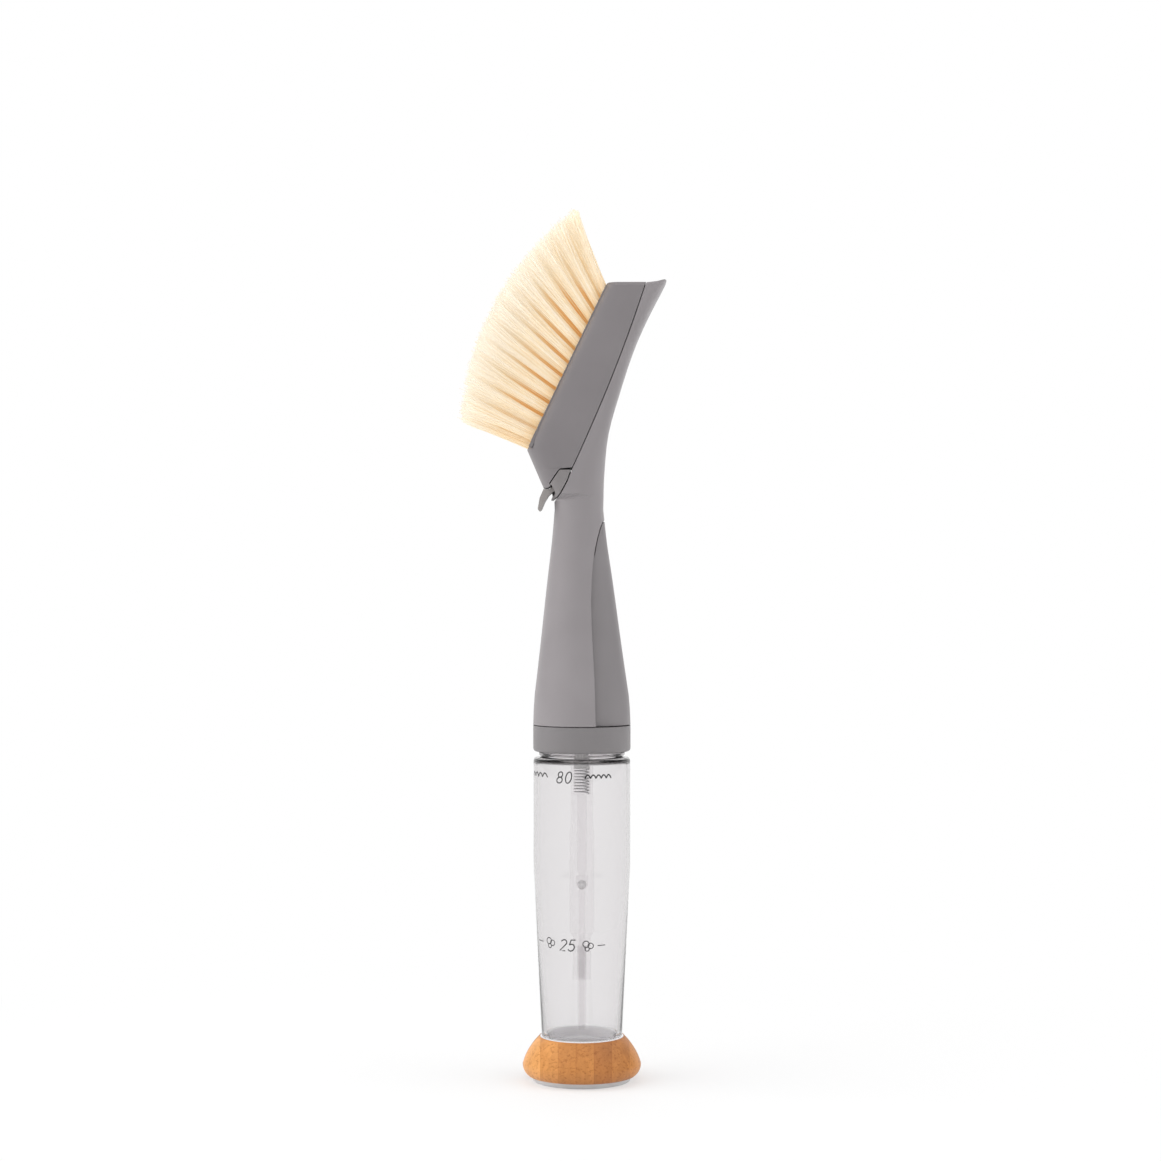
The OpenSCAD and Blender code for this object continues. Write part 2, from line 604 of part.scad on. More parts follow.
module pump_lever() {
    low = handle_z + fit;
    high = handle_z + lever_len;
    solid_z = lever_pin[1] - 5.5;
    levels = concat([for (z = z_steps(low, solid_z, 12)) [z, true]],
        [for (z = z_steps(solid_z + 0.4, high, 6)) [z, false]]);
    rings = [for (level = levels)
        let (z = level[0], side = lever_side(z))
        shell_ring(z, section(z, side, 0, 0), section(z, side + lever_wall, lever_wall, lever_wall),
            lever_front(z), true, level[1])];
    rib_zs = z_steps(nose[1] - nose_r, lever_pin[1] + 1, 5);
    rib_y = rib_in + rib_t;
    function rib_back(z) =
        let (s = section(z, lever_side(z), 0, 0))
        s[0] + s[1] * sqrt(1 - (rib_y / s[2]) ^ 2) - lever_wall / 3;
    color("gray") difference() {
        union() {
            shell_skin(rings);
            for (side = [-1, 1]) translate([0, side * (rib_in + rib_t / 2), 0]) across(rib_t) union() {
                polygon(concat([for (z = rib_zs) [rib_back(z), z]],
                    [[lever_pin[0], lever_pin[1] + lever_hub_r], [lever_pin[0] - lever_hub_r, lever_pin[1]],
                        [nose[0] - nose_r, nose[1]], [nose[0], nose[1] - nose_r]]));
                translate(nose) circle(r = nose_r);
                translate(lever_pin) circle(r = lever_hub_r);
            }
        }
        cross_bar(lever_pin, lever_pin_r + fit, 20);
        parting_fin(fin_w + 2 * gap, 0.7, handle_z + lever_len + 1);
    }
}

module actuator_cap() {
    wedge_z = chamber_z;
    wedge_top = stem_top + 24;
    socket_r = tube_r + fit;
    color("white") difference() {
        union() {
            translate([0, 0, cap_z]) cylinder(h = tube_z + 2 - cap_z, r = cap_r);
            across(2 * (rib_in + rib_t + 1)) polygon([
                [-cap_r, wedge_z], [cap_r, wedge_z], [cap_r, wedge_c - cap_r],
                [wedge_c - wedge_top, wedge_top], [-tube_r - 1.5, wedge_top], [-cap_r, wedge_top - 5]]);
        }
        translate([0, 0, cap_z - 1]) cylinder(h = chamber_z - cap_z, r = stem_r + fit);
        translate([0, 0, chamber_z - 1]) cylinder(h = holder_h + 1 + fit, r = holder_r + fit);
        translate([0, 0, chamber_z]) cylinder(h = holder_h + 1, r = tube_bore_r);
        translate([0, 0, tube_z]) cylinder(h = 30, r = socket_r);
    }
}

module foam_tube() {
    color("white", 0.8) translate([0, 0, tube_z]) difference() {
        cylinder(h = tube_top - tube_z, r = tube_r);
        translate([0, 0, -1]) cylinder(h = tube_top - tube_z + 2, r = tube_bore_r);
    }
}

screen_t = 0.3;
module mesh_holder() {
    color("white") translate([0, 0, chamber_z]) difference() {
        cylinder(h = holder_h, r = holder_r);
        translate([0, 0, -1]) cylinder(h = holder_h + 2, r = holder_r - 0.9);
        for (z = [-1, holder_h - screen_t])
            translate([0, 0, z]) cylinder(h = screen_t + 1, r = holder_r - 0.4);
    }
}

module foam_screens() {
    color("lightgray") for (z = [chamber_z + screen_t, chamber_z + holder_h - 2 * screen_t])
        translate([0, 0, z - fit]) cylinder(h = screen_t - fit, r = holder_r - 0.9 - fit);
}

module piston_stem() {
    color("white") translate([0, 0, stem_z]) difference() {
        cylinder(h = stem_top - stem_z, r = stem_r);
        translate([0, 0, -1]) cylinder(h = stem_top - stem_z + 2, r = stem_bore_r);
    }
}

module air_piston() {
    hub_r = 4;
    lip_r = air_bore_r - fit;
    web_z = piston_z + 0.45 * piston_h;
    color("white") rotate_extrude() polygon([
        [stem_r + fit, piston_z], [hub_r, piston_z], [hub_r, web_z], [lip_r - 1.6, web_z],
        [lip_r - 0.7, piston_z], [lip_r, piston_z], [lip_r - 0.4, web_z + 0.4], [lip_r, cap_z],
        [lip_r - 0.7, cap_z], [lip_r - 1.6, web_z + 0.9], [hub_r, web_z + 0.9], [hub_r, cap_z],
        [stem_r + fit, cap_z]]);
}

module liquid_piston() {
    lip_r = liquid_bore_r - fit;
    color("white") rotate_extrude() polygon([
        [stem_r + fit, stem_z], [lip_r, stem_z], [lip_r - 0.25, stem_z + 1], [lip_r - 0.25, stem_z + 2.5],
        [lip_r, stem_z + liquid_piston_h], [stem_r + fit, stem_z + liquid_piston_h]]);
}

// Return spring: one wire with flat end curls, squeezed between the cylinder's seat and the piston
spring_mean_r = liquid_bore_r - spring_wire / 2 - 0.3;
spring_low = spring_seat_z + spring_wire / 2 + fit;
spring_high = stem_z - spring_wire / 2 - fit;
spring_path = [for (i = [0 : spring_curls * 8])
    let (a = 45 * i, u = i / (spring_curls * 8))
    [spring_mean_r * cos(a), spring_mean_r * sin(a), spring_low + (spring_high - spring_low) * u]];
echo(return_spring_least_gap = min([for (i = [0 : len(spring_path) - 9])
    norm(spring_path[i + 8] - spring_path[i])]) - spring_wire);
module return_spring() {
    color("silver") swept_wire(spring_path, spring_wire / 2, [0, 0, 1]);
}

module check_ball() {
    color("silver") translate([0, 0, ball_z]) sphere(r = ball_r, $fn = 48);
}

// Cheeks that hold the latch, flush with the handle's sides, and the two bridges that join them
module latch_frame() {
    levels = concat([4.3, 5.7], z_steps(6.6, 13.7, 5), [14.1]);
    rings = [for (d = levels)
        let (z = waist_z + d, s = section(z, 0, 0, 0))
        let (a = angle_at(s, spine_x(z) - cheek_gap), b = angle_at(s, lock_x(LOCK_FRONT, z)))
        concat([for (i = [0 : 6]) let (p = on_section(s, a + (b - a) * i / 6)) [p[0], p[1], z]],
            [for (i = [0 : 6]) let (p = on_section(s, -b + (b - a) * i / 6)) [p[0], p[1], z]])];
    color("gray") union() {
        difference() {
            skin(rings);
            translate([-30, -latch_w / 2 - gap, lock_low - 1]) cube([30 - 6.2, latch_w + 2 * gap, 30]);
            cross_bar(latch_axis, latch_pin_r + fit, 2 * 7.6);
        }
        across(latch_w + 2 * gap + 1) translate([0, waist_z]) polygon([
            [-11.1, 3.4], [-10.6, 4.6], [-9.4, 6], [-8, 6], [-9.3, 4.4], [-10.35, 3.4]]);
    }
}

module latch_pin() {
    color("silver") cross_bar(latch_axis, latch_pin_r, 2 * 7.5);
}

// Torsion spring round the latch pin, with its leg on the bridge
latch_coil_r = latch_pin_r + 0.8;
latch_wire = 0.45;
module latch_spring() {
    pitch = 0.95;
    curls = 3;
    start_y = 1.7;
    coil = [for (i = [0 : curls * 8 + 2])
        let (a = 45 * i + 90, turn = latch_coil_r * [cos(a), sin(a)])
        [latch_axis[0] + turn[0], start_y + pitch * i / 8, latch_axis[1] + turn[1]]];
    leg = coil[0] + [1.1, 0, 0];
    color("silver") swept_wire(concat([leg], coil), latch_wire / 2, [0, 1, 0]);
}

module release_latch() {
    x = latch_axis[0];
    z = latch_axis[1];
    tab_z = z - tab_len;
    color("darkgray") difference() {
        across(latch_w) union() {
            translate(latch_axis) circle(r = 1.6);
            polygon([[x - 0.4, z + 1.7], [x - 2.7, z - 0.35], [x - 3.6, z - 1], [x - 5.7, z - 1],
                [x - 7.1, z - 4.2], [x - 7.8, tab_z + 0.8], [x - 7.2, tab_z], [x - 6.4, tab_z + 0.5], [x - 5.1, z - 5.5],
                [x - 3.6, z - 3.1], [x - 1.4, z - 1.4]]);
        }
        translate([x - 2.1, 1.3, z - 2.1]) cube([4.2, 3.7 + gap, 4.2]);
        cross_bar(latch_axis, latch_pin_r + fit, 20);
    }
}

module foam_nozzle() {
    color("white") difference() {
        union() {
            release_bar(nozzle_at, nozzle_flange_r, 1, -1.2 + fit);
            release_bar(nozzle_at, nozzle_r, nozzle_reach + 1, -1.2 + fit);
        }
        release_bar(nozzle_at, nozzle_bore_r, nozzle_reach + 4, -2);
        seal_groove(0);
    }
}

seal_wire_r = 0.45;
module seal_groove(slack) {
    translate([nozzle_at[0], 0, nozzle_at[1]]) rotate([0, release_turn, 0])
        translate([0, 0, nozzle_reach - 1.9]) rotate_extrude()
            translate([nozzle_r - 0.35 + seal_wire_r, 0]) circle(r = seal_wire_r + slack, $fn = 24);
}

module nozzle_seal() {
    color("dimgray") seal_groove(-0.02);
}

module cartridge_skin() {
    low = lip[1] + 0.7;
    hollow_low = seam_low[1] + 2.5;
    hollow_high = toe[1] - 3;
    levels = concat(
        [for (z = [low, lip[1] + 1.3, waist_z + LOCK_FRONT[2][0], lip[1] + 4.5, lock_top - 1.1,
            lock_top - 0.3, lock_top + 0.1, hollow_low]) [z, false]],
        [for (z = concat([hollow_low + 0.4], [heel[1]], z_steps(heel[1] + 4, hollow_high, 11))) [z, true]],
        [[hollow_high + 0.4, false], [toe[1] - 1.2, false]]);
    side = 1.9;
    rings = [for (level = levels)
        let (z = level[0])
        shell_ring(z, section(z, 0, 0, 0), section(z, side, plate_t / cos(head_tilt), side),
            head_limit_x(z), false, level[1])];
    rim = rings[len(rings) - 1];
    top = [for (p = rim) [p[0] + 0.55, p[1] * 0.95, toe[1]]];
    shell_skin(concat(rings, [top]));
}

// Places children with X across, Y up the plate and Z out of it, from the plate's heel corner
module on_plate() {
    translate([heel[0], 0, heel[1]]) rotate([0, -90 + head_tilt, 0]) children();
}

module brush_cartridge() {
    boss_r = 5;
    seat_depth = nozzle_reach + 1.2;
    color("dimgray") difference() {
        union() {
            cartridge_skin();
            release_bar(nozzle_at, boss_r, duct_len - 4, 0.8);
        }
        on_plate() translate([tuft_margin - fit, -head_width / 2 + rim_margin - fit, -backing_t - fit])
            cube([plate_len - 2 * tuft_margin + 2 * fit, head_width - 2 * rim_margin + 2 * fit, 10]);
        release_bar(nozzle_at, nozzle_r + 2 * fit + 0.5, seat_depth, -0.5);
        release_bar(nozzle_at, duct_r, duct_len + 4, 0);
    }
}

// Side-view place of a strand's tip, s from 0 at the heel to 1 at the toe
function tip_at(s) =
    let (lean = [-cos(bristle_lean), sin(bristle_lean)])
    let (mid = heel + 0.5 * plate_len * plate_up + bristle_len * lean)
    let (low = mid + [-12, -41.5], high = mid + [29, 34], pull = 2 * mid - 0.5 * low - 0.5 * high)
    (1 - s) ^ 2 * low + 2 * s * (1 - s) * pull + s ^ 2 * high;

// Bristle block: tufts first..last of the plate, each of 3 by 3 strands that rise from its backing
module bristle_block(first, last) {
    nu = 3 * (last - first + 1);
    nv = 3 * tuft_rows;
    u_lines = [for (i = [0 : nu])
        let (t = floor(i / 3), k = i - 3 * t, mid = tuft_margin + (first + t + 0.5) * tuft_pitch)
        k == 0 ? mid - tuft_pitch / 2 : mid + (k - 1.5) * strand_step];
    v_lines = [for (j = [0 : nv])
        let (t = floor(j / 3), k = j - 3 * t, mid = (t + 0.5 - tuft_rows / 2) * row_pitch)
        k == 0 ? mid - row_pitch / 2 : mid + (k - 1.5) * strand_step];
    function place(u, v, h) =
        let (p = heel + u * plate_up + h * plate_out) [p[0], v, p[1]];
    function is_bare(i, j) =
        let (tuft = first + floor(i / 3), row = floor(j / 3))
        tuft == bare_tuft && abs(row + 0.5 - tuft_rows / 2) < 1;
    grid = [for (i = [0 : nu]) for (j = [0 : nv]) place(u_lines[i], v_lines[j], 0)];
    roots = [for (i = [0 : nu - 1]) for (j = [0 : nv - 1])
        let (tu = floor(i / 3), tv = floor(j / 3), ku = i - 3 * tu - 1, kv = j - 3 * tv - 1)
        let (u = tuft_margin + (first + tu + 0.5) * tuft_pitch + ku * strand_step)
        let (v = (tv + 0.5 - tuft_rows / 2) * row_pitch + kv * strand_step)
        let (s = (3 * first + i + 0.5) / (3 * tuft_count), w = (j + 0.5) / nv - 0.5)
        let (wave = sin(137 * i + 71 * j), tip = tip_at(s) + 0.9 * wave * plate_out)
        for (k = [0 : 5])
            let (a = 90 + 120 * (k % 3))
            k < 3
                ? place(u + strand_w / sqrt(3) * cos(a), v + strand_w / sqrt(3) * sin(a), 0)
                : [tip[0] + strand_tip_w / sqrt(3) * cos(a) * plate_up[0],
                    tip_width * w + strand_tip_w / sqrt(3) * sin(a),
                    tip[1] + strand_tip_w / sqrt(3) * cos(a) * plate_up[1]]];
    edge = concat([for (i = [0 : nu - 1]) [i, 0]], [for (j = [0 : nv - 1]) [nu, j]],
        [for (i = [0 : nu - 1]) [nu - i, nv]], [for (j = [0 : nv - 1]) [0, nv - j]]);
    under = [for (e = edge) place(u_lines[e[0]], v_lines[e[1]], -backing_t)];
    under_mid = place((u_lines[0] + u_lines[nu]) / 2, 0, -backing_t);
    g0 = (nu + 1) * (nv + 1);
    e0 = g0 + len(roots);
    ne = len(edge);
    top_faces = [for (i = [0 : nu - 1]) for (j = [0 : nv - 1])
        let (a = i * (nv + 1) + j, b = a + nv + 1, c = b + 1, d = a + 1, t = g0 + 6 * (i * nv + j))
        for (f = is_bare(i, j)
            ? [[a, b, c], [a, c, d]]
            : [[a, b, t + 2], [a, t + 2, t + 1], [b, c, t], [b, t, t + 2], [c, d, t], [d, a, t + 1],
                [d, t + 1, t], [t, t + 1, t + 4], [t, t + 4, t + 3], [t + 1, t + 2, t + 5],
                [t + 1, t + 5, t + 4], [t + 2, t, t + 3], [t + 2, t + 3, t + 5], [t + 3, t + 4, t + 5]])
            [f[0], f[2], f[1]]];
    side_faces = [for (k = [0 : ne - 1])
        let (n = (k + 1) % ne, p = edge[k][0] * (nv + 1) + edge[k][1], q = edge[n][0] * (nv + 1) + edge[n][1])
        for (f = [[e0 + k, q, e0 + n], [e0 + k, p, q], [e0 + ne, e0 + k, e0 + n]]) f];
    polyhedron(concat(grid, roots, under, [under_mid]), concat(top_faces, side_faces));
}

module bristles_heel() {
    color("wheat") difference() {
        bristle_block(0, 2);
        release_bar(nozzle_at, duct_r, duct_len + 4, 0);
    }
}

module bristles_lower() {
    color("wheat") bristle_block(3, 5);
}

module bristles_upper() {
    color("wheat") bristle_block(6, 8);
}

module bristles_toe() {
    color("wheat") bristle_block(9, tuft_count - 1);
}

foot();
base_ring();
bottle();
collar();
handle_shell();
pump_carrier();
pump_housing();
dip_tube();
mouth_gasket();
lever_pin();
latch_frame();
latch_pin();
latch_spring();
foam_nozzle();
nozzle_seal();
pump_lever();
actuator_cap();
foam_tube();
mesh_holder();
foam_screens();
piston_stem();
air_piston();
liquid_piston();
return_spring();
check_ball();
release_latch();
brush_cartridge();
bristles_heel();
bristles_lower();
bristles_upper();
bristles_toe();
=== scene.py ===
# %% [markdown]
# # Dish wand
# A dish brush that makes its own foam: a clear soap bottle in a bamboo base, a foam pump inside
# the grey handle, and a brush head that clips on. This file dresses its CAD solids. It goes from
# materials to the pieces that keep their CAD shape, then to the pieces made afresh (latch rib,
# bottle, print, bristles and tuft plate), and last to the studio.
# Z is up, and the camera looks along +Y. Blender works in metres here, and the shapes below are
# written in millimetres and multiplied by MM.

# %% Set-up
import math
import random

import bmesh
import bpy
from mathutils import Matrix, Vector


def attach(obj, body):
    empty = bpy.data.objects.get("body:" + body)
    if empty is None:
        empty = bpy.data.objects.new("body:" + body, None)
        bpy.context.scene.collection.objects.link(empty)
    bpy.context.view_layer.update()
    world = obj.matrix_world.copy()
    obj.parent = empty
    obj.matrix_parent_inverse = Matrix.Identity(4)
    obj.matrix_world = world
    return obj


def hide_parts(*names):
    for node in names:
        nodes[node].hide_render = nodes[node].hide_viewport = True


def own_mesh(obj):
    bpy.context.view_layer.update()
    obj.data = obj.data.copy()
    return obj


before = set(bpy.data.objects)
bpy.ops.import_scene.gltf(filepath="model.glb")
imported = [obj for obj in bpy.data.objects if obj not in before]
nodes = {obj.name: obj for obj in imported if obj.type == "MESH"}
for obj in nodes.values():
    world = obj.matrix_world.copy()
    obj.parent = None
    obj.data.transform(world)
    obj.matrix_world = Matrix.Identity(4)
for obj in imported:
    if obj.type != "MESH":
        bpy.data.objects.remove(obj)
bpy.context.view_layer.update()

MM = 0.001
scene = bpy.context.scene
random.seed(7)

# %% [markdown]
# ## How the materials are made
# Nothing on the wand is one flat colour: plastic has flow marks and grain, and wood has fibres.
# Such detail could be a painted image, but an image has to be unwrapped onto every piece and it
# blurs close up. Here each finish is worked out from noise at every point of the piece, so its
# grain has the right size everywhere. Two small classes keep the wiring of nodes short.

# %% Node helpers
WHITE = (1, 1, 1, 1)


class Nodes:
    """Adds linked nodes to one node tree."""

    def __init__(self, tree):
        self.tree = tree

    def add(self, kind, inputs=None, **settings):
        """A new node: its settings first, then a value or a link for each named input."""
        node = self.tree.nodes.new(kind)
        for key, value in settings.items():
            setattr(node, key, value)
        for key, value in (inputs or {}).items():
            if isinstance(value, bpy.types.NodeSocket):
                self.tree.links.new(value, node.inputs[key])
            else:
                node.inputs[key].default_value = value
        return node

    def math(self, operation, a, b=0.0):
        return self.add("ShaderNodeMath", {0: a, 1: b}, operation=operation).outputs[0]

    def between(self, value, start, end, low_end=0.0, high_end=1.0, kind="LINEAR"):
        """Carries a value from start..end over to low_end..high_end, and stops at both ends."""
        limits = {"Value": value, "From Min": start, "From Max": end}
        limits.update({"To Min": low_end, "To Max": high_end})
        return self.add("ShaderNodeMapRange", limits, interpolation_type=kind).outputs[0]

    def mix_shaders(self, share, first, second):
        return self.add("ShaderNodeMixShader", {0: share, 1: first, 2: second}).outputs[0]


class Finish(Nodes):
    """The nodes of one new material, round its Principled shader."""

    def __init__(self, name):
        self.material = bpy.data.materials.new(name)
        self.material.use_nodes = True
        super().__init__(self.material.node_tree)
        self.shader = self.tree.nodes["Principled BSDF"]
        self.output = self.tree.nodes["Material Output"]

    def coords(self, scale=(1, 1, 1)):
        source = self.add("ShaderNodeTexCoord").outputs["Object"]
        return self.add("ShaderNodeMapping", {"Vector": source, "Scale": scale}).outputs[0]

    def axes(self, scale=(1, 1, 1)):
        """X, Y and Z of each point, one by one."""
        return self.add("ShaderNodeSeparateXYZ", {0: self.coords(scale)}).outputs

    def height(self):
        """Height in tenths of a metre, a measure that runs from 0 to 1 over the bottle."""
        return self.axes((10, 10, 10))["Z"]

    def noise(self, vector, scale, detail=3.0, roughness=0.5):
        inputs = {"Vector": vector, "Scale": scale, "Detail": detail, "Roughness": roughness}
        return self.add("ShaderNodeTexNoise", inputs).outputs["Fac"]

    def ramp(self, fac, *stops):
        """Colours at set positions from 0 to 1, blended in between."""
        node = self.add("ShaderNodeValToRGB", {"Fac": fac})
        points = node.color_ramp.elements
        while len(points) < len(stops):
            points.new(0.5)
        for point, (position, colour) in zip(points, stops):
            point.position = position
            point.color = (*colour, 1)
        return node.outputs["Color"]

    def blend(self, share, a, b, kind="MIX"):
        """A blend of two colours."""
        inputs = {0: share, 6: a, 7: b}
        return self.add("ShaderNodeMix", inputs, data_type="RGBA", blend_type=kind).outputs[2]

    def rounded(self, radius):
        """Surface directions that round off sharp edges by a radius, in the shading alone."""
        return self.add("ShaderNodeBevel", {"Radius": radius}, samples=4).outputs["Normal"]

    def bump(self, height, strength, distance, normal=None):
        inputs = {"Height": height, "Strength": strength, "Distance": distance}
        if normal is not None:
            inputs["Normal"] = normal
        return self.add("ShaderNodeBump", inputs).outputs["Normal"]

    def set(self, **inputs):
        """Sets or links the Principled shader's inputs and hands back the material."""
        for key, value in inputs.items():
            socket = self.shader.inputs[key.replace("_", " ")]
            if isinstance(value, bpy.types.NodeSocket):
                self.tree.links.new(value, socket)
            else:
                socket.default_value = value
        return self.material

    def show(self, share, other):
        """Blends a share of another shader over the Principled one."""
        mixed = self.mix_shaders(share, self.shader.outputs[0], other)
        self.tree.links.new(mixed, self.output.inputs["Surface"])
        return self.material


print("node helpers ready")

# %% [markdown]
# ## Moulded plastics
# Handle, collar, latch and head are moulded in greys that differ a little from part to part. One
# grey for all would be simpler, but then the parting lines would hardly show. The lever is the
# handle's own plastic, and its darker grey is painted shade. Each grey is a ramp between two close
# tones along slow flow marks. A fine grain roughens it, and a Bevel node rounds the edges in the
# shading, which costs no faces.

# %% Moulded plastics
def moulded(name, dark, light, roughness=0.42, edge=0.25):
    """Moulded plastic with flow marks, a fine grain and edges rounded by edge millimetres."""
    n = Finish(name)
    wide = n.noise(n.coords(), 45.0, 2.0)
    fine = n.noise(n.coords(), 2600.0, 2.0)
    colour = n.ramp(n.between(wide, 0.3, 0.7), (0.0, dark), (1.0, light))
    normal = n.bump(fine, 0.12, 0.00004, n.rounded(edge * MM))
    gloss = n.between(fine, 0, 1, roughness - 0.04, roughness + 0.06)
    return n.set(Base_Color=colour, Roughness=gloss, Normal=normal, IOR=1.46)


grey = moulded("Grey handle plastic", (0.262, 0.243, 0.250), (0.284, 0.264, 0.272))
# The lever is handle plastic: its darker grey is painted shade.
lever_shaded_grey = moulded("Grey handle plastic in painted shade", (0.216, 0.202, 0.207), (0.234, 0.219, 0.225))
collar_grey = moulded("Grey collar plastic", (0.196, 0.185, 0.188), (0.212, 0.200, 0.204))
head_grey = moulded("Grey head plastic", (0.204, 0.188, 0.194), (0.222, 0.205, 0.211), 0.44)
frame_grey = moulded("Grey latch frame plastic", (0.220, 0.204, 0.205), (0.238, 0.222, 0.223))
PALE = (0.320, 0.297, 0.288), (0.346, 0.323, 0.313)
pale_grey = moulded("Pale grey latch plastic", *PALE, edge=0.2)
# The rib's near-black grey is painted shade, for the shadow in the slot behind the latch tab.
rib_painted_shade = moulded("Rib plastic in painted shade", (0.060, 0.056, 0.056), (0.068, 0.064, 0.063), 0.5)
inner_white = moulded("White pump plastic", (0.70, 0.70, 0.69), (0.78, 0.78, 0.77), 0.35)
print("moulded plastics:", grey.name, head_grey.name, pale_grey.name, inner_white.name)

# %% [markdown]
# ## Milky plastics
# The pump's cylinder and its dip tube are natural plastic without pigment, faint behind the
# bottle's wall. Full transmission would bend light through every thin wall and turn grey.
# Instead a weakly see-through shader is mixed with a large share of plain transparency.

# %% Milky plastics
def milky(name, see_through):
    """Natural plastic that lets a share of the light go straight through."""
    n = Finish(name)
    cloud = n.noise(n.coords(), 300.0, 2.0)
    colour = (0.92, 0.91, 0.91)
    shade = n.ramp(cloud, (0.3, tuple(0.94 * c for c in colour)), (0.7, colour))
    n.set(Base_Color=shade, Roughness=0.3, Transmission_Weight=0.35, IOR=1.35)
    straight = n.add("ShaderNodeBsdfTransparent", {"Color": (0.98, 0.975, 0.978, 1)})
    return n.show(see_through, straight.outputs[0])


pump_milky = milky("Milky pump plastic", 0.94)
tube_milky = milky("Milky tube plastic", 0.89)
print("milky plastics:", pump_milky.name, tube_milky.name)

# %% [markdown]
# ## Silicone
# The soft foot is pale and slightly translucent, and the bottle stands in it. It could be a plain
# grey, but light that spreads under the skin is what makes silicone look soft, so it has
# subsurface scattering. Its floor under the bottle catches little light, so above 8.5 mm light is
# painted on: a whiter colour and a faint glow bring it back to the white that shows through the
# bottle.

# %% Silicone
PAINTED_LIGHT_FADE = 0.085, 0.105


def silicone():
    """Soft pale plastic, with painted light where the bottle stands on it: a whiter colour and a
    faint glow.
    """
    n = Finish("Pale silicone")
    cloud = n.noise(n.coords(), 160.0, 3.0)
    fine = n.noise(n.coords(), 1800.0, 2.0)
    skin = n.ramp(cloud, (0.3, (0.66, 0.665, 0.675)), (0.7, (0.73, 0.735, 0.745)))
    # Painted light on the floor under the bottle: whiter colour and a glow from 8.5 mm up.
    painted_light = n.between(n.height(), *PAINTED_LIGHT_FADE)
    return n.set(
        Base_Color=n.blend(painted_light, skin, (0.93, 0.93, 0.94, 1)),
        Roughness=0.48,
        Normal=n.bump(fine, 0.15, 0.00004),
        Subsurface_Weight=0.35,
        Subsurface_Radius=(0.002, 0.002, 0.0018),
        Subsurface_Scale=1.0,
        Emission_Color=WHITE,
        Emission_Strength=n.math("MULTIPLY", painted_light, 0.16),
    )


foot_silicone = silicone()
print("silicone:", foot_silicone.name)

# %% [markdown]
# ## Bamboo
# The base ring is turned from a laminated block: upright strips 6.4 mm wide, each with its own
# tone, long fibres, dark pores and a thin glue joint. A wood image would stretch round the
# ring. So each point asks which strip it is in, that strip's number picks its tone, and noise
# squeezed along Z draws the fibres.

# %% Bamboo
STRIP_WIDTH, STRIP_DEPTH = 0.0064, 0.019
FIRST_JOINT = 0.0021
STEP_BACK = 0.0061


def bamboo():
    """Laminated strips that stand side by side, each with its own tone, fibres and pores."""
    n = Finish("Bamboo")
    axes = n.axes()
    across = n.math("DIVIDE", n.math("ADD", axes["X"], FIRST_JOINT), STRIP_WIDTH)
    column = n.math("FLOOR", across)
    set_back = n.math("ADD", axes["Y"], n.math("MULTIPLY", column, STEP_BACK))
    row = n.math("FLOOR", n.math("DIVIDE", set_back, STRIP_DEPTH))
    cell = n.add("ShaderNodeCombineXYZ", {"X": column, "Y": row}).outputs[0]
    tone = n.add("ShaderNodeTexWhiteNoise", {"Vector": cell}, noise_dimensions="3D")
    dark, middle, light = (0.42, 0.155, 0.036), (0.60, 0.255, 0.066), (0.86, 0.430, 0.145)
    colour = n.ramp(tone.outputs["Value"], (0.0, dark), (0.5, middle), (1.0, light))

    plain = (1.0, 1.0, 1.0)
    fibre = n.noise(n.coords((1, 1, 0.06)), 900.0, 5.0, 0.62)
    fleck = n.noise(n.coords((0.6, 0.6, 1.0)), 1300.0, 2.0, 0.6)
    blotch = n.noise(n.coords((1, 1, 0.5)), 130.0, 3.0)
    off_middle = n.math("ABSOLUTE", n.math("SUBTRACT", n.math("FRACT", across), 0.5))
    for marks, start, end, share in (
        (fibre, (0.32, (0.86, 0.80, 0.72)), (0.62, (1.04, 1.04, 1.04)), 0.8),
        (fleck, (0.34, (0.70, 0.58, 0.44)), (0.46, plain), 0.75),
        (blotch, (0.35, (0.84, 0.80, 0.76)), (0.65, (1.08, 1.08, 1.08)), 0.8),
        (off_middle, (0.475, plain), (0.495, (0.86, 0.79, 0.70)), 0.9),
    ):
        colour = n.blend(share, colour, n.ramp(marks, start, end), "MULTIPLY")
    normal = n.bump(fibre, 0.22, 0.00012, n.rounded(0.4 * MM))
    return n.set(Base_Color=colour, Roughness=0.46, Normal=normal, IOR=1.5)


wood = bamboo()
print("wood:", wood.name)

# %% [markdown]
# ## Clear bottle plastic
# The bottle is a clear plastic with a faint smoky cast where its wall is seen edge-on. A thin
# tinted shell would look like film, so this is a solid wall that bends light and absorbs a
# little of it on the way. Light for shadows and for bounces goes straight through, because
# bent light would leave the things behind the wall dark and noisy.

# %% Clear bottle plastic
def clear_plastic():
    """Clear plastic with a faint unevenness of its faces, a little greyer low in the foot."""
    n = Finish("Clear bottle plastic")
    wave = n.noise(n.coords((1, 1, 0.5)), 60.0, 1.0)
    tone = n.ramp(n.height(), (0.14, (0.975, 0.975, 0.98)), (0.20, (0.995, 0.990, 0.992)))
    normal = n.bump(wave, 0.03, 0.0006)
    n.set(Base_Color=tone, Roughness=0.0, Transmission_Weight=1.0, IOR=1.46, Normal=normal)
    smoke = n.add("ShaderNodeVolumeAbsorption", {"Color": (0.05, 0.0, 0.02, 1), "Density": 88.0})
    n.tree.links.new(smoke.outputs[0], n.output.inputs["Volume"])
    path = n.add("ShaderNodeLightPath").outputs
    soft = n.math("MAXIMUM", path["Is Shadow Ray"], path["Is Diffuse Ray"])
    through = n.add("ShaderNodeBsdfTransparent", {"Color": (0.97, 0.97, 0.97, 1)})
    return n.show(soft, through.outputs[0])


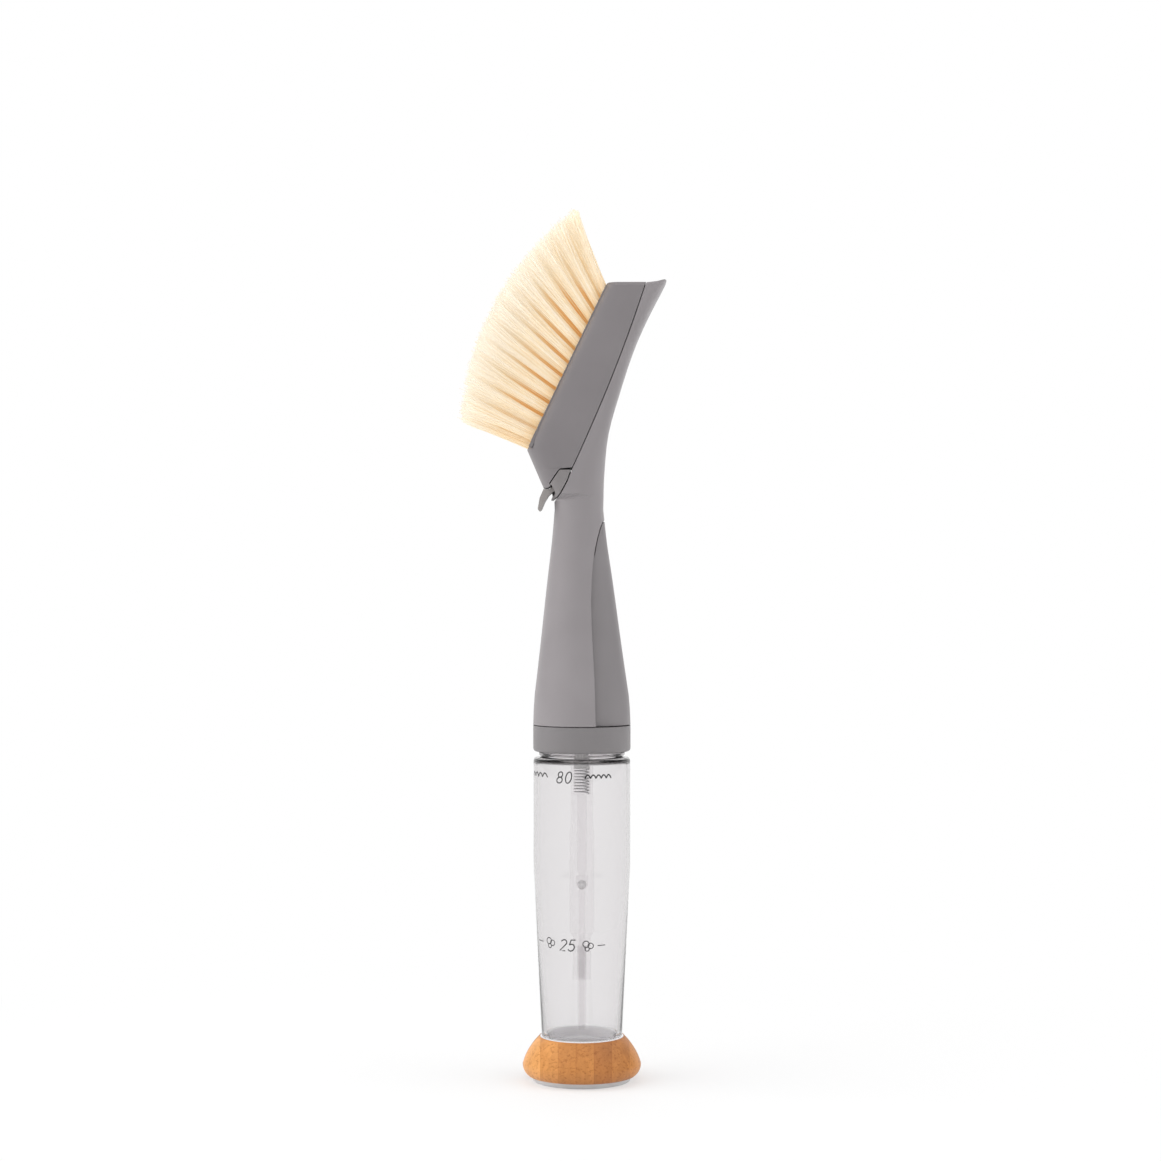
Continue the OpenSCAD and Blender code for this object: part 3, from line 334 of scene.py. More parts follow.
clear = clear_plastic()
print("clear plastic:", clear.name)

# %% [markdown]
# ## Print, steel, rubber and screen
# The level marks are a thin dark print, the springs and pins are drawn wire, the check ball is
# polished, the gasket and seal are rubber, and the foaming screens are woven thread. Each could
# be a plain colour at this size. Streaks, a mottle or a weave from one noise or sine wave cost
# nothing, and they show when the pump is taken apart.

# %% Print and steel
def ink():
    """Dark print with slightly uneven cover."""
    n = Finish("Dark print")
    cover = n.noise(n.coords(), 1500.0, 2.0)
    dark = (0.020, 0.020, 0.021)
    tone = n.ramp(cover, (0.3, dark), (0.7, tuple(1.5 * c for c in dark)))
    return n.set(Base_Color=tone, Roughness=0.6)


def drawn_steel():
    """Wire and pins with fine streaks along Z."""
    n = Finish("Drawn steel")
    streak = n.noise(n.coords((1, 1, 0.1)), 2500.0, 3.0)
    gloss = n.between(streak, 0, 1, 0.22, 0.40)
    return n.set(Base_Color=(0.62, 0.62, 0.63, 1), Metallic=1.0, Roughness=gloss)


def polished_steel():
    """The smooth steel of a small ball."""
    n = Finish("Polished steel")
    cloud = n.noise(n.coords(), 600.0, 2.0)
    gloss = n.between(cloud, 0, 1, 0.42, 0.52)
    return n.set(Base_Color=(0.86, 0.86, 0.86, 1), Metallic=0.45, Roughness=gloss)


print_ink, metal, ball_steel = ink(), drawn_steel(), polished_steel()
print("print and steel:", print_ink.name, metal.name, ball_steel.name)


# %% Rubber and screen
def rubber(name, colour):
    """Plain rubber with a soft mottle."""
    n = Finish(name)
    mottle = n.noise(n.coords(), 700.0, 3.0)
    tone = n.ramp(mottle, (0.3, tuple(0.85 * c for c in colour)), (0.7, colour))
    return n.set(Base_Color=tone, Roughness=0.62, Normal=n.bump(mottle, 0.1, 0.00005))


def screen_mesh():
    """Woven screen: two crossing sets of threads, 0.3 mm apart, with holes between."""
    n = Finish("Woven screen")
    axes = n.axes()
    threads = []
    for axis in ("X", "Y"):
        wave = n.math("SINE", n.math("MULTIPLY", axes[axis], 2 * math.pi / 0.0003))
        threads.append(n.math("GREATER_THAN", wave, 0.1))
    cover = n.math("MAXIMUM", *threads)
    return n.set(Base_Color=(0.72, 0.72, 0.72, 1), Roughness=0.6, Alpha=cover)


dark_rubber = rubber("Dark rubber", (0.03, 0.03, 0.03))
pale_rubber = rubber("Pale rubber", (0.66, 0.66, 0.65))
woven = screen_mesh()
print("rubber and screen:", dark_rubber.name, pale_rubber.name, woven.name)

# %% [markdown]
# ## Bristle fibre
# The bristles are fine cream fibres, pale at their tips and warm and dark down between the tufts.
# Light alone would make that depth, but it takes many bounces, and then the picture is noisy. So
# shade is painted into the colour: it is warmer and darker near the plate and in the middle of the
# brush. Painted light makes the tips paler, and a faint glow is painted light as well. Plate and
# middle are measured along the head's own slanted axes, which are set first.

# %% Axes of the brush head
HEEL = Vector((-19.8, 0, 228.7))
TILT = math.radians(25.7)
UP = Vector((math.sin(TILT), 0, math.cos(TILT)))
OUT = Vector((-math.cos(TILT), 0, math.sin(TILT)))
PLATE_LEN = 66.3
PLATE_LEVEL = OUT.dot(HEEL) * MM
PLATE_MIDDLE = (UP.dot(HEEL) + PLATE_LEN / 2) * MM
print("plate:", round(PLATE_LEVEL, 5), "m out,", round(PLATE_MIDDLE, 4), "m up its slant")


# %% Bristle fibre
def fibre():
    """Fine cream fibre: each strand has its own tone, with painted shade warm in the depth of the
    tufts, painted light on the tips and a faint painted glow.
    """
    n = Finish("Bristle fibre")
    lone = n.add("ShaderNodeNewGeometry").outputs["Random Per Island"]
    streak = n.noise(n.coords(), 420.0, 2.0)
    mixed = n.math("ADD", n.math("MULTIPLY", lone, 0.6), n.math("MULTIPLY", streak, 0.4))
    cream_tones = (0.955, 0.87, 0.71), (0.972, 0.912, 0.80), (0.985, 0.95, 0.88)
    tone = n.ramp(mixed, *zip((0.15, 0.45, 0.85), cream_tones))

    def along(direction, start):
        """Distance along a direction of the head, from a start."""
        inputs = {0: n.coords(), 1: direction}
        reach = n.add("ShaderNodeVectorMath", inputs, operation="DOT_PRODUCT").outputs["Value"]
        return n.math("SUBTRACT", reach, start)

    def share(value, *ends):
        return n.between(value, *ends, kind="SMOOTHSTEP")

    height = along(OUT, PLATE_LEVEL)
    aside = n.math("ABSOLUTE", n.axes()["Y"])
    off_centre = n.math("ABSOLUTE", along(UP, PLATE_MIDDLE))
    # Painted shade: the colour is warmer and darker in the middle rows low down and near the
    # plate, where shade falls between the tufts.
    middle_rows = share(aside, 0.0046, 0.0070, 1.0, 0.0)
    inside = n.math("MULTIPLY", middle_rows, share(height, 0.004, 0.028, 1.0, 0.0))
    inside = n.math("MULTIPLY", inside, share(off_centre, 0.0265, 0.0305, 1.0, 0.25))
    depth = n.math("MAXIMUM", inside, share(height, 0.0, 0.006, 0.22, 0.0))
    warm = n.blend(depth, tone, (0.945, 0.73, 0.34, 1))
    # Painted light: the colour turns paler towards the tips.
    pale = share(height, 0.012, 0.030, 0.0, 0.9)
    colour = n.blend(pale, warm, (0.972, 0.938, 0.878, 1))
    n.set(Base_Color=colour, Roughness=0.42, IOR=1.45)
    # A faint glow in the fibre's own colour is painted light as well.
    n.set(Emission_Color=colour, Emission_Strength=0.172)
    glow = n.add("ShaderNodeBsdfTranslucent", {"Color": colour})
    return n.show(0.5, glow.outputs[0])


cream = fibre()
print("fibre:", cream.name)

# %% [markdown]
# ## Finishing a piece
# A CAD solid arrives as loose triangles, which shade like cut stone. Smooth shading on all of it
# would smear its edges, so edges over 28 degrees stay sharp and the rest is smooth. Every piece is
# then tied to its CAD body, so that it moves with it, and the CAD nodes it stands for are hidden.

# %% Finishing helpers
SMOOTH_ANGLE = math.radians(28)


def finished(name, bm, material, smooth=True):
    """An object from a bmesh, smooth where it is round and sharp at its edges."""
    for face in bm.faces:
        face.smooth = smooth
    for edge in bm.edges:
        edge.smooth = edge.is_manifold and edge.calc_face_angle(0) < SMOOTH_ANGLE
    mesh = bpy.data.meshes.new(name)
    bm.to_mesh(mesh)
    bm.free()
    mesh.materials.append(material)
    return bpy.data.objects.new(name, mesh)


def place(obj, body, slot, *stands_for):
    """Puts a finished piece on its CAD body and hides the CAD nodes it stands for."""
    scene.collection.objects.link(obj)
    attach(obj, body)
    if stands_for:
        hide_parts(*stands_for)
    return obj


print("finishing helpers ready")

# %% [markdown]
# ## Pieces that keep their CAD shape
# Foot, base ring, collar, handle, lever, latch, head and the pump's inside have their real
# shape in the CAD model already. Modelling them again would only add errors. Each is copied,
# its loose points are joined so that its faces know their neighbours, and it gets its finish.

# %% Pieces that keep their CAD shape
JOIN, SLIVER = 2e-6, 1e-7


def keep_shape(node, body, slot, material):
    """A copy of a CAD node with its points joined and its slivers gone."""
    bm = bmesh.new()
    bm.from_mesh(nodes[node].data)
    bmesh.ops.remove_doubles(bm, verts=bm.verts, dist=JOIN)
    bmesh.ops.dissolve_degenerate(bm, edges=bm.edges, dist=SLIVER)
    return place(finished(node + "_skin", bm, material), body, slot, node)


KEPT = [
    ("foot", "bottle", "silicone_foot", foot_silicone),
    ("base_ring", "bottle", "bamboo", wood),
    ("collar", "collar", "grey_collar", collar_grey),
    ("handle_shell", "handle", "grey_handle", grey),
    ("pump_lever", "lever", "grey_handle", lever_shaded_grey),
    ("pump_carrier", "handle", "light_grey_plastic", pale_grey),
    ("pump_housing", "handle", "white_plastic", pump_milky),
    ("dip_tube", "handle", "white_plastic", tube_milky),
    ("mouth_gasket", "handle", "white_rubber", pale_rubber),
    ("lever_pin", "handle", "steel", metal),
    ("latch_frame", "handle", "light_grey_plastic", frame_grey),
    ("latch_pin", "handle", "steel", metal),
    ("latch_spring", "handle", "steel", metal),
    ("release_latch", "latch", "light_grey_plastic", pale_grey),
    ("foam_nozzle", "handle", "white_plastic", inner_white),
    ("nozzle_seal", "handle", "dark_rubber", dark_rubber),
    ("actuator_cap", "plunger", "white_plastic", inner_white),
    ("foam_tube", "plunger", "white_plastic", tube_milky),
    ("mesh_holder", "plunger", "white_plastic", inner_white),
    ("foam_screens", "plunger", "mesh", woven),
    ("piston_stem", "plunger", "white_plastic", inner_white),
    ("air_piston", "plunger", "white_plastic", inner_white),
    ("liquid_piston", "plunger", "white_plastic", inner_white),
    ("return_spring", "plunger", "steel", metal),
    ("check_ball", "ball", "steel", ball_steel),
    ("brush_cartridge", "head", "grey_head", head_grey),
]
for node, body, slot, material in KEPT:
    keep_shape(node, body, slot, material)
print("pieces with their CAD shape:", len(KEPT))

# %% [markdown]
# ## Return spring
# A coil spring stands between the pump's floor and the plunger. When the lever is squeezed, the
# plunger comes down and the spring gets shorter, while its lower end stays on its seat. Riding on
# the plunger alone would push its coils through the floor, and a shape per pose would be many
# meshes. Here the spring only gets a mesh of its own, and rides on the plunger.

# %% Return spring
return_coils = bpy.data.objects["return_spring_skin"]
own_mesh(return_coils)

# %% [markdown]
# ## Rib of the latch
# Behind the finger tab of the latch a dark rib fills the slot that would otherwise be seen
# through. Its near-black grey is painted shade, which stands for the shadow in that slot. It could
# be cut into the latch's own mesh, but it is a separate plain web, so its side outline is drawn
# once and extruded across the latch.

# %% Rib of the latch
RIB = [(-11.7, 216.4), (-8.8, 216.4), (-8.6, 213.0), (-9.7, 210.9), (-10.6, 211.6), (-10.9, 213.6)]
RIB_WIDTH = 2.4


def latch_rib():
    """The rib's outline in the XZ plane, extruded across the middle of the latch."""
    bm = bmesh.new()
    near = -RIB_WIDTH / 2 * MM
    outline = bm.faces.new([bm.verts.new((x * MM, near, z * MM)) for x, z in RIB])
    grown = bmesh.ops.extrude_face_region(bm, geom=[outline])["geom"]
    far_points = [part for part in grown if isinstance(part, bmesh.types.BMVert)]
    bmesh.ops.translate(bm, verts=far_points, vec=(0, RIB_WIDTH * MM, 0))
    bmesh.ops.recalc_face_normals(bm, faces=bm.faces)
    return finished("latch_rib", bm, rib_painted_shade)


rib = place(latch_rib(), "latch", "light_grey_plastic")
print("latch rib:", len(rib.data.polygons), "faces")

# %% [markdown]
# ## Bottle
# The bottle tapers down from a round shoulder to a plug that sits in the foot. The CAD solid
# has flat facets, and in clear plastic each one would bend the light its own way. So the wall
# is drawn again as one half outline, up the outside and down the inside, and spun round the
# Z axis in many steps. The numbers are the CAD model's.

# %% Outline of the bottle
FLOOR_Z, BASE_TOP, SHOULDER_Z, MOUTH_Z = 11.5, 16.0, 117.3, 124.05
BOTTLE_R, LOW_R, NECK_R, NECK_BORE_R, WALL = 17.6, 14.6, 13.8, 12.3, 1.4
PLUG_R = LOW_R - 1
BEND_R = BOTTLE_R - 0.4
STRAIGHT_Z = SHOULDER_Z - 36
BEND_Z = STRAIGHT_Z - 10
ROUND = 16


def curve_on(line, towards, end, count):
    """Lengthens a line by a curve from its last point to end, bent towards a point."""
    start = line[-1]
    for i in range(1, count + 1):
        u = i / count
        a, b, c = (1 - u) ** 2, 2 * u * (1 - u), u * u
        line.append(tuple(a * p + b * q + c * r for p, q, r in zip(start, towards, end)))


def bottle_outside():
    """Half the outside as (radius, height), from the middle of the underside to the mouth."""
    line = [(0.0, FLOOR_Z), (PLUG_R - 1, FLOOR_Z)]
    curve_on(line, (PLUG_R, FLOOR_Z), (PLUG_R, FLOOR_Z + 1), 4)
    line += [(PLUG_R, BASE_TOP - 0.2), (LOW_R - 0.3, BASE_TOP + 0.02), (LOW_R, BASE_TOP + 0.4)]
    for i in range(1, 9):
        line.append((LOW_R + (BEND_R - LOW_R) * i / 8, BASE_TOP + (BEND_Z - BASE_TOP) * i / 8))
    curve_on(line, (BOTTLE_R, STRAIGHT_Z - 4), (BOTTLE_R, STRAIGHT_Z), ROUND)
    line += [(BOTTLE_R, SHOULDER_Z - 1.4)]
    curve_on(line, (BOTTLE_R, SHOULDER_Z), (BOTTLE_R - 1.4, SHOULDER_Z), ROUND)
    curve_on(line, (NECK_R + 0.8, SHOULDER_Z + 0.1), (NECK_R + 0.8, SHOULDER_Z + 0.8), 6)
    line += [(NECK_R + 1.6, SHOULDER_Z + 0.8), (NECK_R + 1.8, SHOULDER_Z + 1.0)]
    line += [(NECK_R + 1.8, SHOULDER_Z + 1.75), (NECK_R + 1.6, SHOULDER_Z + 1.95)]
    line += [(NECK_R, SHOULDER_Z + 1.95), (NECK_R, MOUTH_Z - 0.2), (NECK_R - 0.2, MOUTH_Z)]
    return line


def bottle_inside():
    """Half the inside as (radius, height), from the mouth to the middle of the floor."""
    wide, slim = BOTTLE_R - WALL, PLUG_R - WALL
    under, floor = SHOULDER_Z - 1.1, FLOOR_Z + WALL
    line = [(NECK_BORE_R + 0.2, MOUTH_Z), (NECK_BORE_R, MOUTH_Z - 0.2), (NECK_BORE_R, under + 1)]
    curve_on(line, (NECK_BORE_R + 0.1, under), (NECK_BORE_R + 1.2, under), 6)
    line += [(wide - 1.2, under)]
    curve_on(line, (wide, under), (wide, under - 1.2), 8)
    line += [(wide, STRAIGHT_Z)]
    curve_on(line, (wide, STRAIGHT_Z - 4), (wide - 0.4, BEND_Z), ROUND)
    line += [(LOW_R - WALL, BASE_TOP + 1)]
    curve_on(line, (LOW_R - WALL - 0.3, BASE_TOP - 0.6), (slim, BASE_TOP - 1.6), 5)
    curve_on(line, (slim, floor), (slim - 1.5, floor), 6)
    curve_on(line, (slim / 2, floor + 2.2), (0, floor + 2.2), 8)
    return line


print("outline:", len(bottle_outside()), "points outside,", len(bottle_inside()), "inside")

# %% Bottle
TURN_STEPS = 144


def turned(name, outline, material):
    """An outline of (radius, height), spun once round the Z axis."""
    bm = bmesh.new()
    points = [bm.verts.new((r * MM, 0, z * MM)) for r, z in outline]
    lines = [bm.edges.new(pair) for pair in zip(points, points[1:])]
    turn = {"cent": (0, 0, 0), "axis": (0, 0, 1), "angle": 2 * math.pi}
    bmesh.ops.spin(bm, geom=points + lines, steps=TURN_STEPS, use_merge=True, **turn)
    bmesh.ops.remove_doubles(bm, verts=bm.verts, dist=SLIVER)
    bmesh.ops.recalc_face_normals(bm, faces=bm.faces)
    return finished(name, bm, material)


bottle = turned("bottle_clear", bottle_outside() + bottle_inside(), clear)
place(bottle, "bottle", "clear_bottle", "bottle")
print("bottle:", len(bottle.data.polygons), "faces")

# %% [markdown]
# ## Thread on the neck
# The collar screws onto a single round thread that shows when the handle is lifted off. A
# screw modifier could make it, but the spin operator takes a rise for each step too, so half a
# circle spun round the neck while it climbs gives the thread in one go. Its foot lies a
# little inside the neck, so no gap opens between them.

# %% Thread on the neck
THREAD_START, THREAD_PITCH, THREAD_TURNS = 120.1, 2.6, 1.25
THREAD_PROUD, THREAD_HALF, THREAD_SUNK = 0.85, 0.55, 0.05
STEPS_PER_TURN = 72


def neck_thread():
    """A rounded screw thread round the neck, closed at both ends."""
    bm = bmesh.new()
    points = []
    for i in range(7):
        u = i / 3 - 1
        r = NECK_R - THREAD_SUNK + (THREAD_PROUD + THREAD_SUNK) * (1 - u * u) ** 0.5
        points.append(bm.verts.new((r * MM, 0, (THREAD_START + THREAD_HALF * u) * MM)))
    lines = [bm.edges.new(pair) for pair in zip(points, points[1:] + points[:1])]
    climb = {
        "cent": (0, 0, 0),
        "axis": (0, 0, 1),
        "angle": 2 * math.pi * THREAD_TURNS,
        "dvec": (0, 0, THREAD_PITCH / STEPS_PER_TURN * MM),
        "steps": int(STEPS_PER_TURN * THREAD_TURNS),
    }
    bmesh.ops.spin(bm, geom=points + lines, use_merge=False, **climb)
    ends = [edge for edge in bm.edges if edge.is_boundary]
    bmesh.ops.holes_fill(bm, edges=ends, sides=len(points))
    bmesh.ops.recalc_face_normals(bm, faces=bm.faces)
    return finished("bottle_thread", bm, clear)


winding = place(neck_thread(), "bottle", "clear_bottle")
print("thread:", len(winding.data.polygons), "faces")

# %% [markdown]
# ## Print on the bottle
# Two level marks are printed round the bottle: a wavy line with a plain number above, and
# dashes, bubbles and a plain number below. An image would need unwrapping, and a text object
# wouldn't follow the taper. So each mark is a pen stroke of flat strips, drawn on a flat sheet
# of (s, z) and then wrapped a hair above the wall. s is measured in millimetres round the
# bottle, from the camera's side towards +X.

# %% Pen strokes
INK_LIFT = 0.03


def bottle_radius(z):
    """Outer radius of the bottle at height z."""
    if z < BEND_Z:
        return LOW_R + (BEND_R - LOW_R) * (z - BASE_TOP) / (BEND_Z - BASE_TOP)
    return BOTTLE_R if z > STRAIGHT_Z else BOTTLE_R - 0.4 * ((STRAIGHT_Z - z) / 10) ** 1.6


def on_bottle(s, z):
    """The point of the wall that a point of the flat sheet is wrapped to."""
    r = bottle_radius(z) + INK_LIFT
    a = s / r
    return Vector((r * math.sin(a) * MM, -r * math.cos(a) * MM, z * MM))


def strokes(name, lines, width):
    """Pen strokes along lines of (s, z): each is extruded in place and opened to its width."""
    bm = bmesh.new()
    for line in lines:
        chain = [bm.verts.new((s, z, 0)) for s, z in line]
        links = [bm.edges.new(pair) for pair in zip(chain, chain[1:])]
        bmesh.ops.extrude_edge_only(bm, edges=links)
        mine = set(chain)
        for i, vert in enumerate(chain):
            before, after = line[max(i - 1, 0)], line[min(i + 1, len(line) - 1)]
            along = Vector((after[0] - before[0], after[1] - before[1], 0)).normalized()
            aside = Vector((-along.y, along.x, 0)) * width / 2
            twin = next(v for edge in vert.link_edges for v in edge.verts if v not in mine)
            vert.co += aside
            twin.co -= aside
    for vert in bm.verts:
        vert.co = on_bottle(vert.co.x, vert.co.y)
    bmesh.ops.recalc_face_normals(bm, faces=bm.faces)
    return finished(name, bm, print_ink, smooth=False)


print("bottle radius:", bottle_radius(BASE_TOP), "to", bottle_radius(SHOULDER_Z), "mm")

# %% [markdown]
# ## Shapes of the marks
# Rings, waves and digits all come from two curves that a pen can follow: part of an ellipse
# and a sine wave. Digits lean a little and have one thin stroke, so a font's outlines would be
# the wrong thing.

# %% Shapes of the marks
LEAN_OF_PEN = 0.2


def arc(cx, cz, rx, rz, start, end, slant=LEAN_OF_PEN, steps=20):
    """Part of an ellipse from one angle to another, in degrees, leaning by slant."""
    out = []
    for i in range(steps + 1):
        a = math.radians(start + (end - start) * i / steps)
        z = rz * math.sin(a)
        out.append((cx + rx * math.cos(a) + slant * z, cz + z))
    return out


def digit(number, s, z, h):
    """A thin leaning 0, 2, 5 or 8 whose foot stands at (s, z), h tall."""
    w = 0.27 * h

    def point(u, v):
        return (s + u * w + LEAN_OF_PEN * v * h, z + v * h)

    if number == 8:
        upper, lower = point(1, 0.76), point(1, 0.26)
        return [arc(*upper, 0.8 * w, 0.24 * h, 0, 360), arc(*lower, w, 0.26 * h, 0, 360)]
    if number == 0:
        return [arc(*point(1, 0.5), w, 0.5 * h, 0, 360)]
    if number == 2:
        hook = arc(*point(1, 0.74), w, 0.26 * h, 160, -40)
        return [hook + [point(0, 0), point(2, 0)]]
    bowl = arc(*point(0.9, 0.31), 1.05 * w, 0.31 * h, 130, -150)
    return [[point(1.9, 1), point(0.4, 1), point(0.15, 0.55)] + bowl]


def wave(start, end, z, height, length):
    """A wavy stroke round the bottle with pointed troughs."""
    count = int((end - start) / 0.12)
    out = []
    for i in range(count + 1):
        s = start + (end - start) * i / count
        rise = abs(math.sin(math.pi * (s - start) / length)) ** 0.8 - 0.5
        out.append((s, z + height * rise))
    return out


def bubbles(s, z):
    """A small cluster of three bubble rings."""
    rings = [(-0.3, 0.7, 1.15), (1.35, 0.1, 1.0), (0.1, -1.0, 0.75)]
    return [arc(s + x, z + y, r, r, 0, 360, 0.0) for x, y, r in rings]


print("one bubble ring:", len(bubbles(0, 0)[0]), "points")

# %% [markdown]
# ## Level marks
# The upper mark is a wave on each side of a plain 80, and the lower one is dashes and bubbles
# round a plain 25. They could be one mesh, but each group has a pen width of its own, so each
# is a piece of its own.

# %% Level marks
UPPER_Z, LOWER_Z, DIGIT_H = 109.1, 49.0, 4.0
waves = [wave(-24.5, -13.7, UPPER_Z + 2.5, 1.5, 2.7), wave(1.1, 11.2, UPPER_Z + 2.3, 1.3, 2.0)]
eighty = digit(8, -9.6, UPPER_Z, DIGIT_H) + digit(0, -6.3, UPPER_Z, DIGIT_H)
left_dash = [(-20.2, LOWER_Z + 2.6), (-16.4, LOWER_Z + 2.5)]
right_dash = [(5.7, LOWER_Z + 1.9), (8.7, LOWER_Z + 2.0)]
suds = bubbles(-12.8, LOWER_Z + 2.4) + bubbles(1.8, LOWER_Z + 1.8)
twenty_five = digit(2, -8.3, LOWER_Z, DIGIT_H) + digit(5, -5.1, LOWER_Z, DIGIT_H)
MARKS = [
    ("print_upper_wave", waves, 0.48),
    ("print_upper_number", eighty, 0.42),
    ("print_lower_marks", [left_dash, right_dash] + suds, 0.32),
    ("print_lower_number", twenty_five, 0.42),
]
for name, lines, width in MARKS:
    place(strokes(name, lines, width), "bottle", "dark_rubber")
print("print:", len(MARKS), "marks")

# %% [markdown]
# ## Bristles
# Fibres stand in tufts, four rows across and twelve along, with two tufts left out where the
# foam comes through. In each tuft they leave the plate close together, spread towards the tips
# and end on one rounded face. Hair curves would draw them quickly, but they don't leave Blender
# as a solid. So one short three-sided fibre is shaped with operators and copied 150 times a
# tuft, each copy with its own root, tip, bend and thickness.

# %% Tufts on the plate
HEAD_WIDTH, RIM, MARGIN = 30.0, 2.6, 1.4
TUFTS, ROWS = 12, 4
OUTER_ROWS = 0, ROWS - 1
BARE_COLUMN = 1
PITCH = 5.25
ROW_PITCH = (HEAD_WIDTH - 2 * RIM) / ROWS
FIRST_TUFT = MARGIN + 1.6


def tuft_places(columns):
    """Each (column, row) that has a tuft."""
    for column in columns:
        for row in range(ROWS):
            if column != BARE_COLUMN or row in OUTER_ROWS:
                yield column, row


def tuft_spot(column, row):
    """Where a tuft stands: along the plate from the heel, and across it.

    Every other row is set off by half a step, so that its tufts face the gaps of the next row.
    """
    along = FIRST_TUFT + (column + (0.5 if row % 2 == 0 else 0.0)) * PITCH
    return along, (row + 0.5 - ROWS / 2) * ROW_PITCH


print("tufts:", len(list(tuft_places(range(TUFTS)))))

# %% [markdown]
# ## One fibre
# A real bristle is a round filament that gets thinner towards its tip. A round tube for each
# would cost millions of faces over the brush. Three sides and five bends are enough at this
# size, so a triangle is extruded five times and narrowed a little each time.

# %% One fibre
SEGMENTS = 5
TAPER = 0.16


def fibre_shape():
    """One upright fibre, 1 tall: a triangle extruded in steps that taper, as points and faces."""
    bm = bmesh.new()
    bmesh.ops.create_circle(bm, cap_ends=False, segments=3, radius=1)
    ring = list(bm.edges)
    for i in range(SEGMENTS):
        grown = bmesh.ops.extrude_edge_only(bm, edges=ring)["geom"]
        tops = [part for part in grown if isinstance(part, bmesh.types.BMVert)]
        bmesh.ops.translate(bm, verts=tops, vec=(0, 0, 1 / SEGMENTS))
        narrow = 1 - TAPER * (i + 1) / SEGMENTS
        bmesh.ops.scale(bm, verts=tops, vec=(narrow, narrow, 1))
        ring = [edge for edge in bm.edges if all(vert in tops for vert in edge.verts)]
    bmesh.ops.contextual_create(bm, geom=ring)
    bmesh.ops.recalc_face_normals(bm, faces=bm.faces)
    bm.verts.index_update()
    points = [tuple(vert.co) for vert in bm.verts]
    faces = [[vert.index for vert in face.verts] for face in bm.faces]
    bm.free()
    return points, faces


FIBRE_POINTS, FIBRE_FACES = fibre_shape()
print("one fibre:", len(FIBRE_POINTS), "points,", len(FIBRE_FACES), "faces")

# %% [markdown]
# ## One tuft
# The filaments of a tuft are held in one hole, so they leave it as a bundle and fan out. Straight
# lines from root to tip would cross and look like straw. Here each fibre first follows the
# tuft's middle line and then goes its own way, and the tips end on a curve that is drawn in
# side view from heel to toe.

# %% One tuft
TIP_WIDTH = 33.0
BRISTLE_LEN, LEAN = 34.5, math.radians(41)
HEEL_TIP, TOE_TIP = Vector((-12.0, 0, -41.5)), Vector((29.0, 0, 34.0))
FIBRES = 150
ROOT_ALONG, OUTER_ROOT_ALONG, ROOT_ACROSS = 1.8, 1.95, 2.4
FAN_ALONG, FAN_ACROSS, STRAY = 0.58, 0.56, 0.05
EDGE_START, EDGE_DROP = 0.6, 3.5


def tip_at(s):
    """Where fibres end in side view, s from 0 at the heel to 1 at the toe."""
    reach = BRISTLE_LEN * Vector((-math.cos(LEAN), 0, math.sin(LEAN)))
    mid = HEEL + 0.5 * PLATE_LEN * UP + reach
    first, last = mid + HEEL_TIP, mid + TOE_TIP
    pull = 2 * mid - 0.5 * first - 0.5 * last
    return (1 - s) ** 2 * first + 2 * s * (1 - s) * pull + s * s * last


def fibre_into(verts, faces, middle, root, tip, bow, thick):
    """A copy of the fibre: low down it keeps to the tuft's middle line, and its tip is free."""
    start = len(verts)
    axis = (tip - root).normalized()
    side = axis.cross(Vector((0, 1, 0.3))).normalized()
    other = axis.cross(side)
    turn = random.uniform(0, 2.1)
    c, s = math.cos(turn) * thick / 2, math.sin(turn) * thick / 2
    low_off, high_off = root - middle[0], tip - middle[1]
    for x, y, u in FIBRE_POINTS:
        off = low_off.lerp(high_off, u ** 2.3)
        centre = middle[0].lerp(middle[1], u) + off + bow * (4 * u * (1 - u))
        verts.append((centre + (c * x - s * y) * side + (s * x + c * y) * other) * MM)
    faces += [[start + k for k in face] for face in FIBRE_FACES]


def tuft_into(verts, faces, column, row):
    """All fibres of one tuft."""
    u0, v0 = tuft_spot(column, row)
    share = (u0 - MARGIN) / (PLATE_LEN - 2 * MARGIN)
    foot = HEEL + u0 * UP + Vector((0, v0, 0)) - 0.4 * OUT
    top = tip_at(share) + Vector((0, TIP_WIDTH * ((row + 0.5) / ROWS - 0.5), 0))
    root_along = OUTER_ROOT_ALONG if row in OUTER_ROWS else ROOT_ALONG
    for _ in range(FIBRES):
        a, d = random.uniform(0, 2 * math.pi), math.sqrt(random.random())
        du, dv = d * math.cos(a), d * math.sin(a)
        root = foot + root_along * du * UP + Vector((0, ROOT_ACROSS * dv, 0))
        s = share + (FAN_ALONG * du + random.gauss(0, STRAY)) / TUFTS
        w = (row + 0.5 + FAN_ACROSS * dv + random.gauss(0, STRAY)) / ROWS - 0.5
        tip = tip_at(min(max(s, 0.0), 0.99)) + Vector((0, TIP_WIDTH * w, 0))
        tip += random.gauss(-0.4, 0.8) * OUT
        tip -= EDGE_DROP * max(0.0, abs(2 * w) - EDGE_START) * OUT
        bow = Vector((random.gauss(0, 0.17), random.gauss(0, 0.17), random.gauss(0, 0.17)))
        fibre_into(verts, faces, (foot, top), root, tip, bow, random.uniform(0.28, 0.38))


print("tips at heel and toe:", [tuple(round(c, 1) for c in tip_at(s)) for s in (0, 1)])

# %% All the bristles
ZONES = [
    ("tufts_heel", "bristles_heel", range(0, 3)),
    ("tufts_lower", "bristles_lower", range(3, 6)),
    ("tufts_upper", "bristles_upper", range(6, 9)),
    ("tufts_toe", "bristles_toe", range(9, 12)),
]


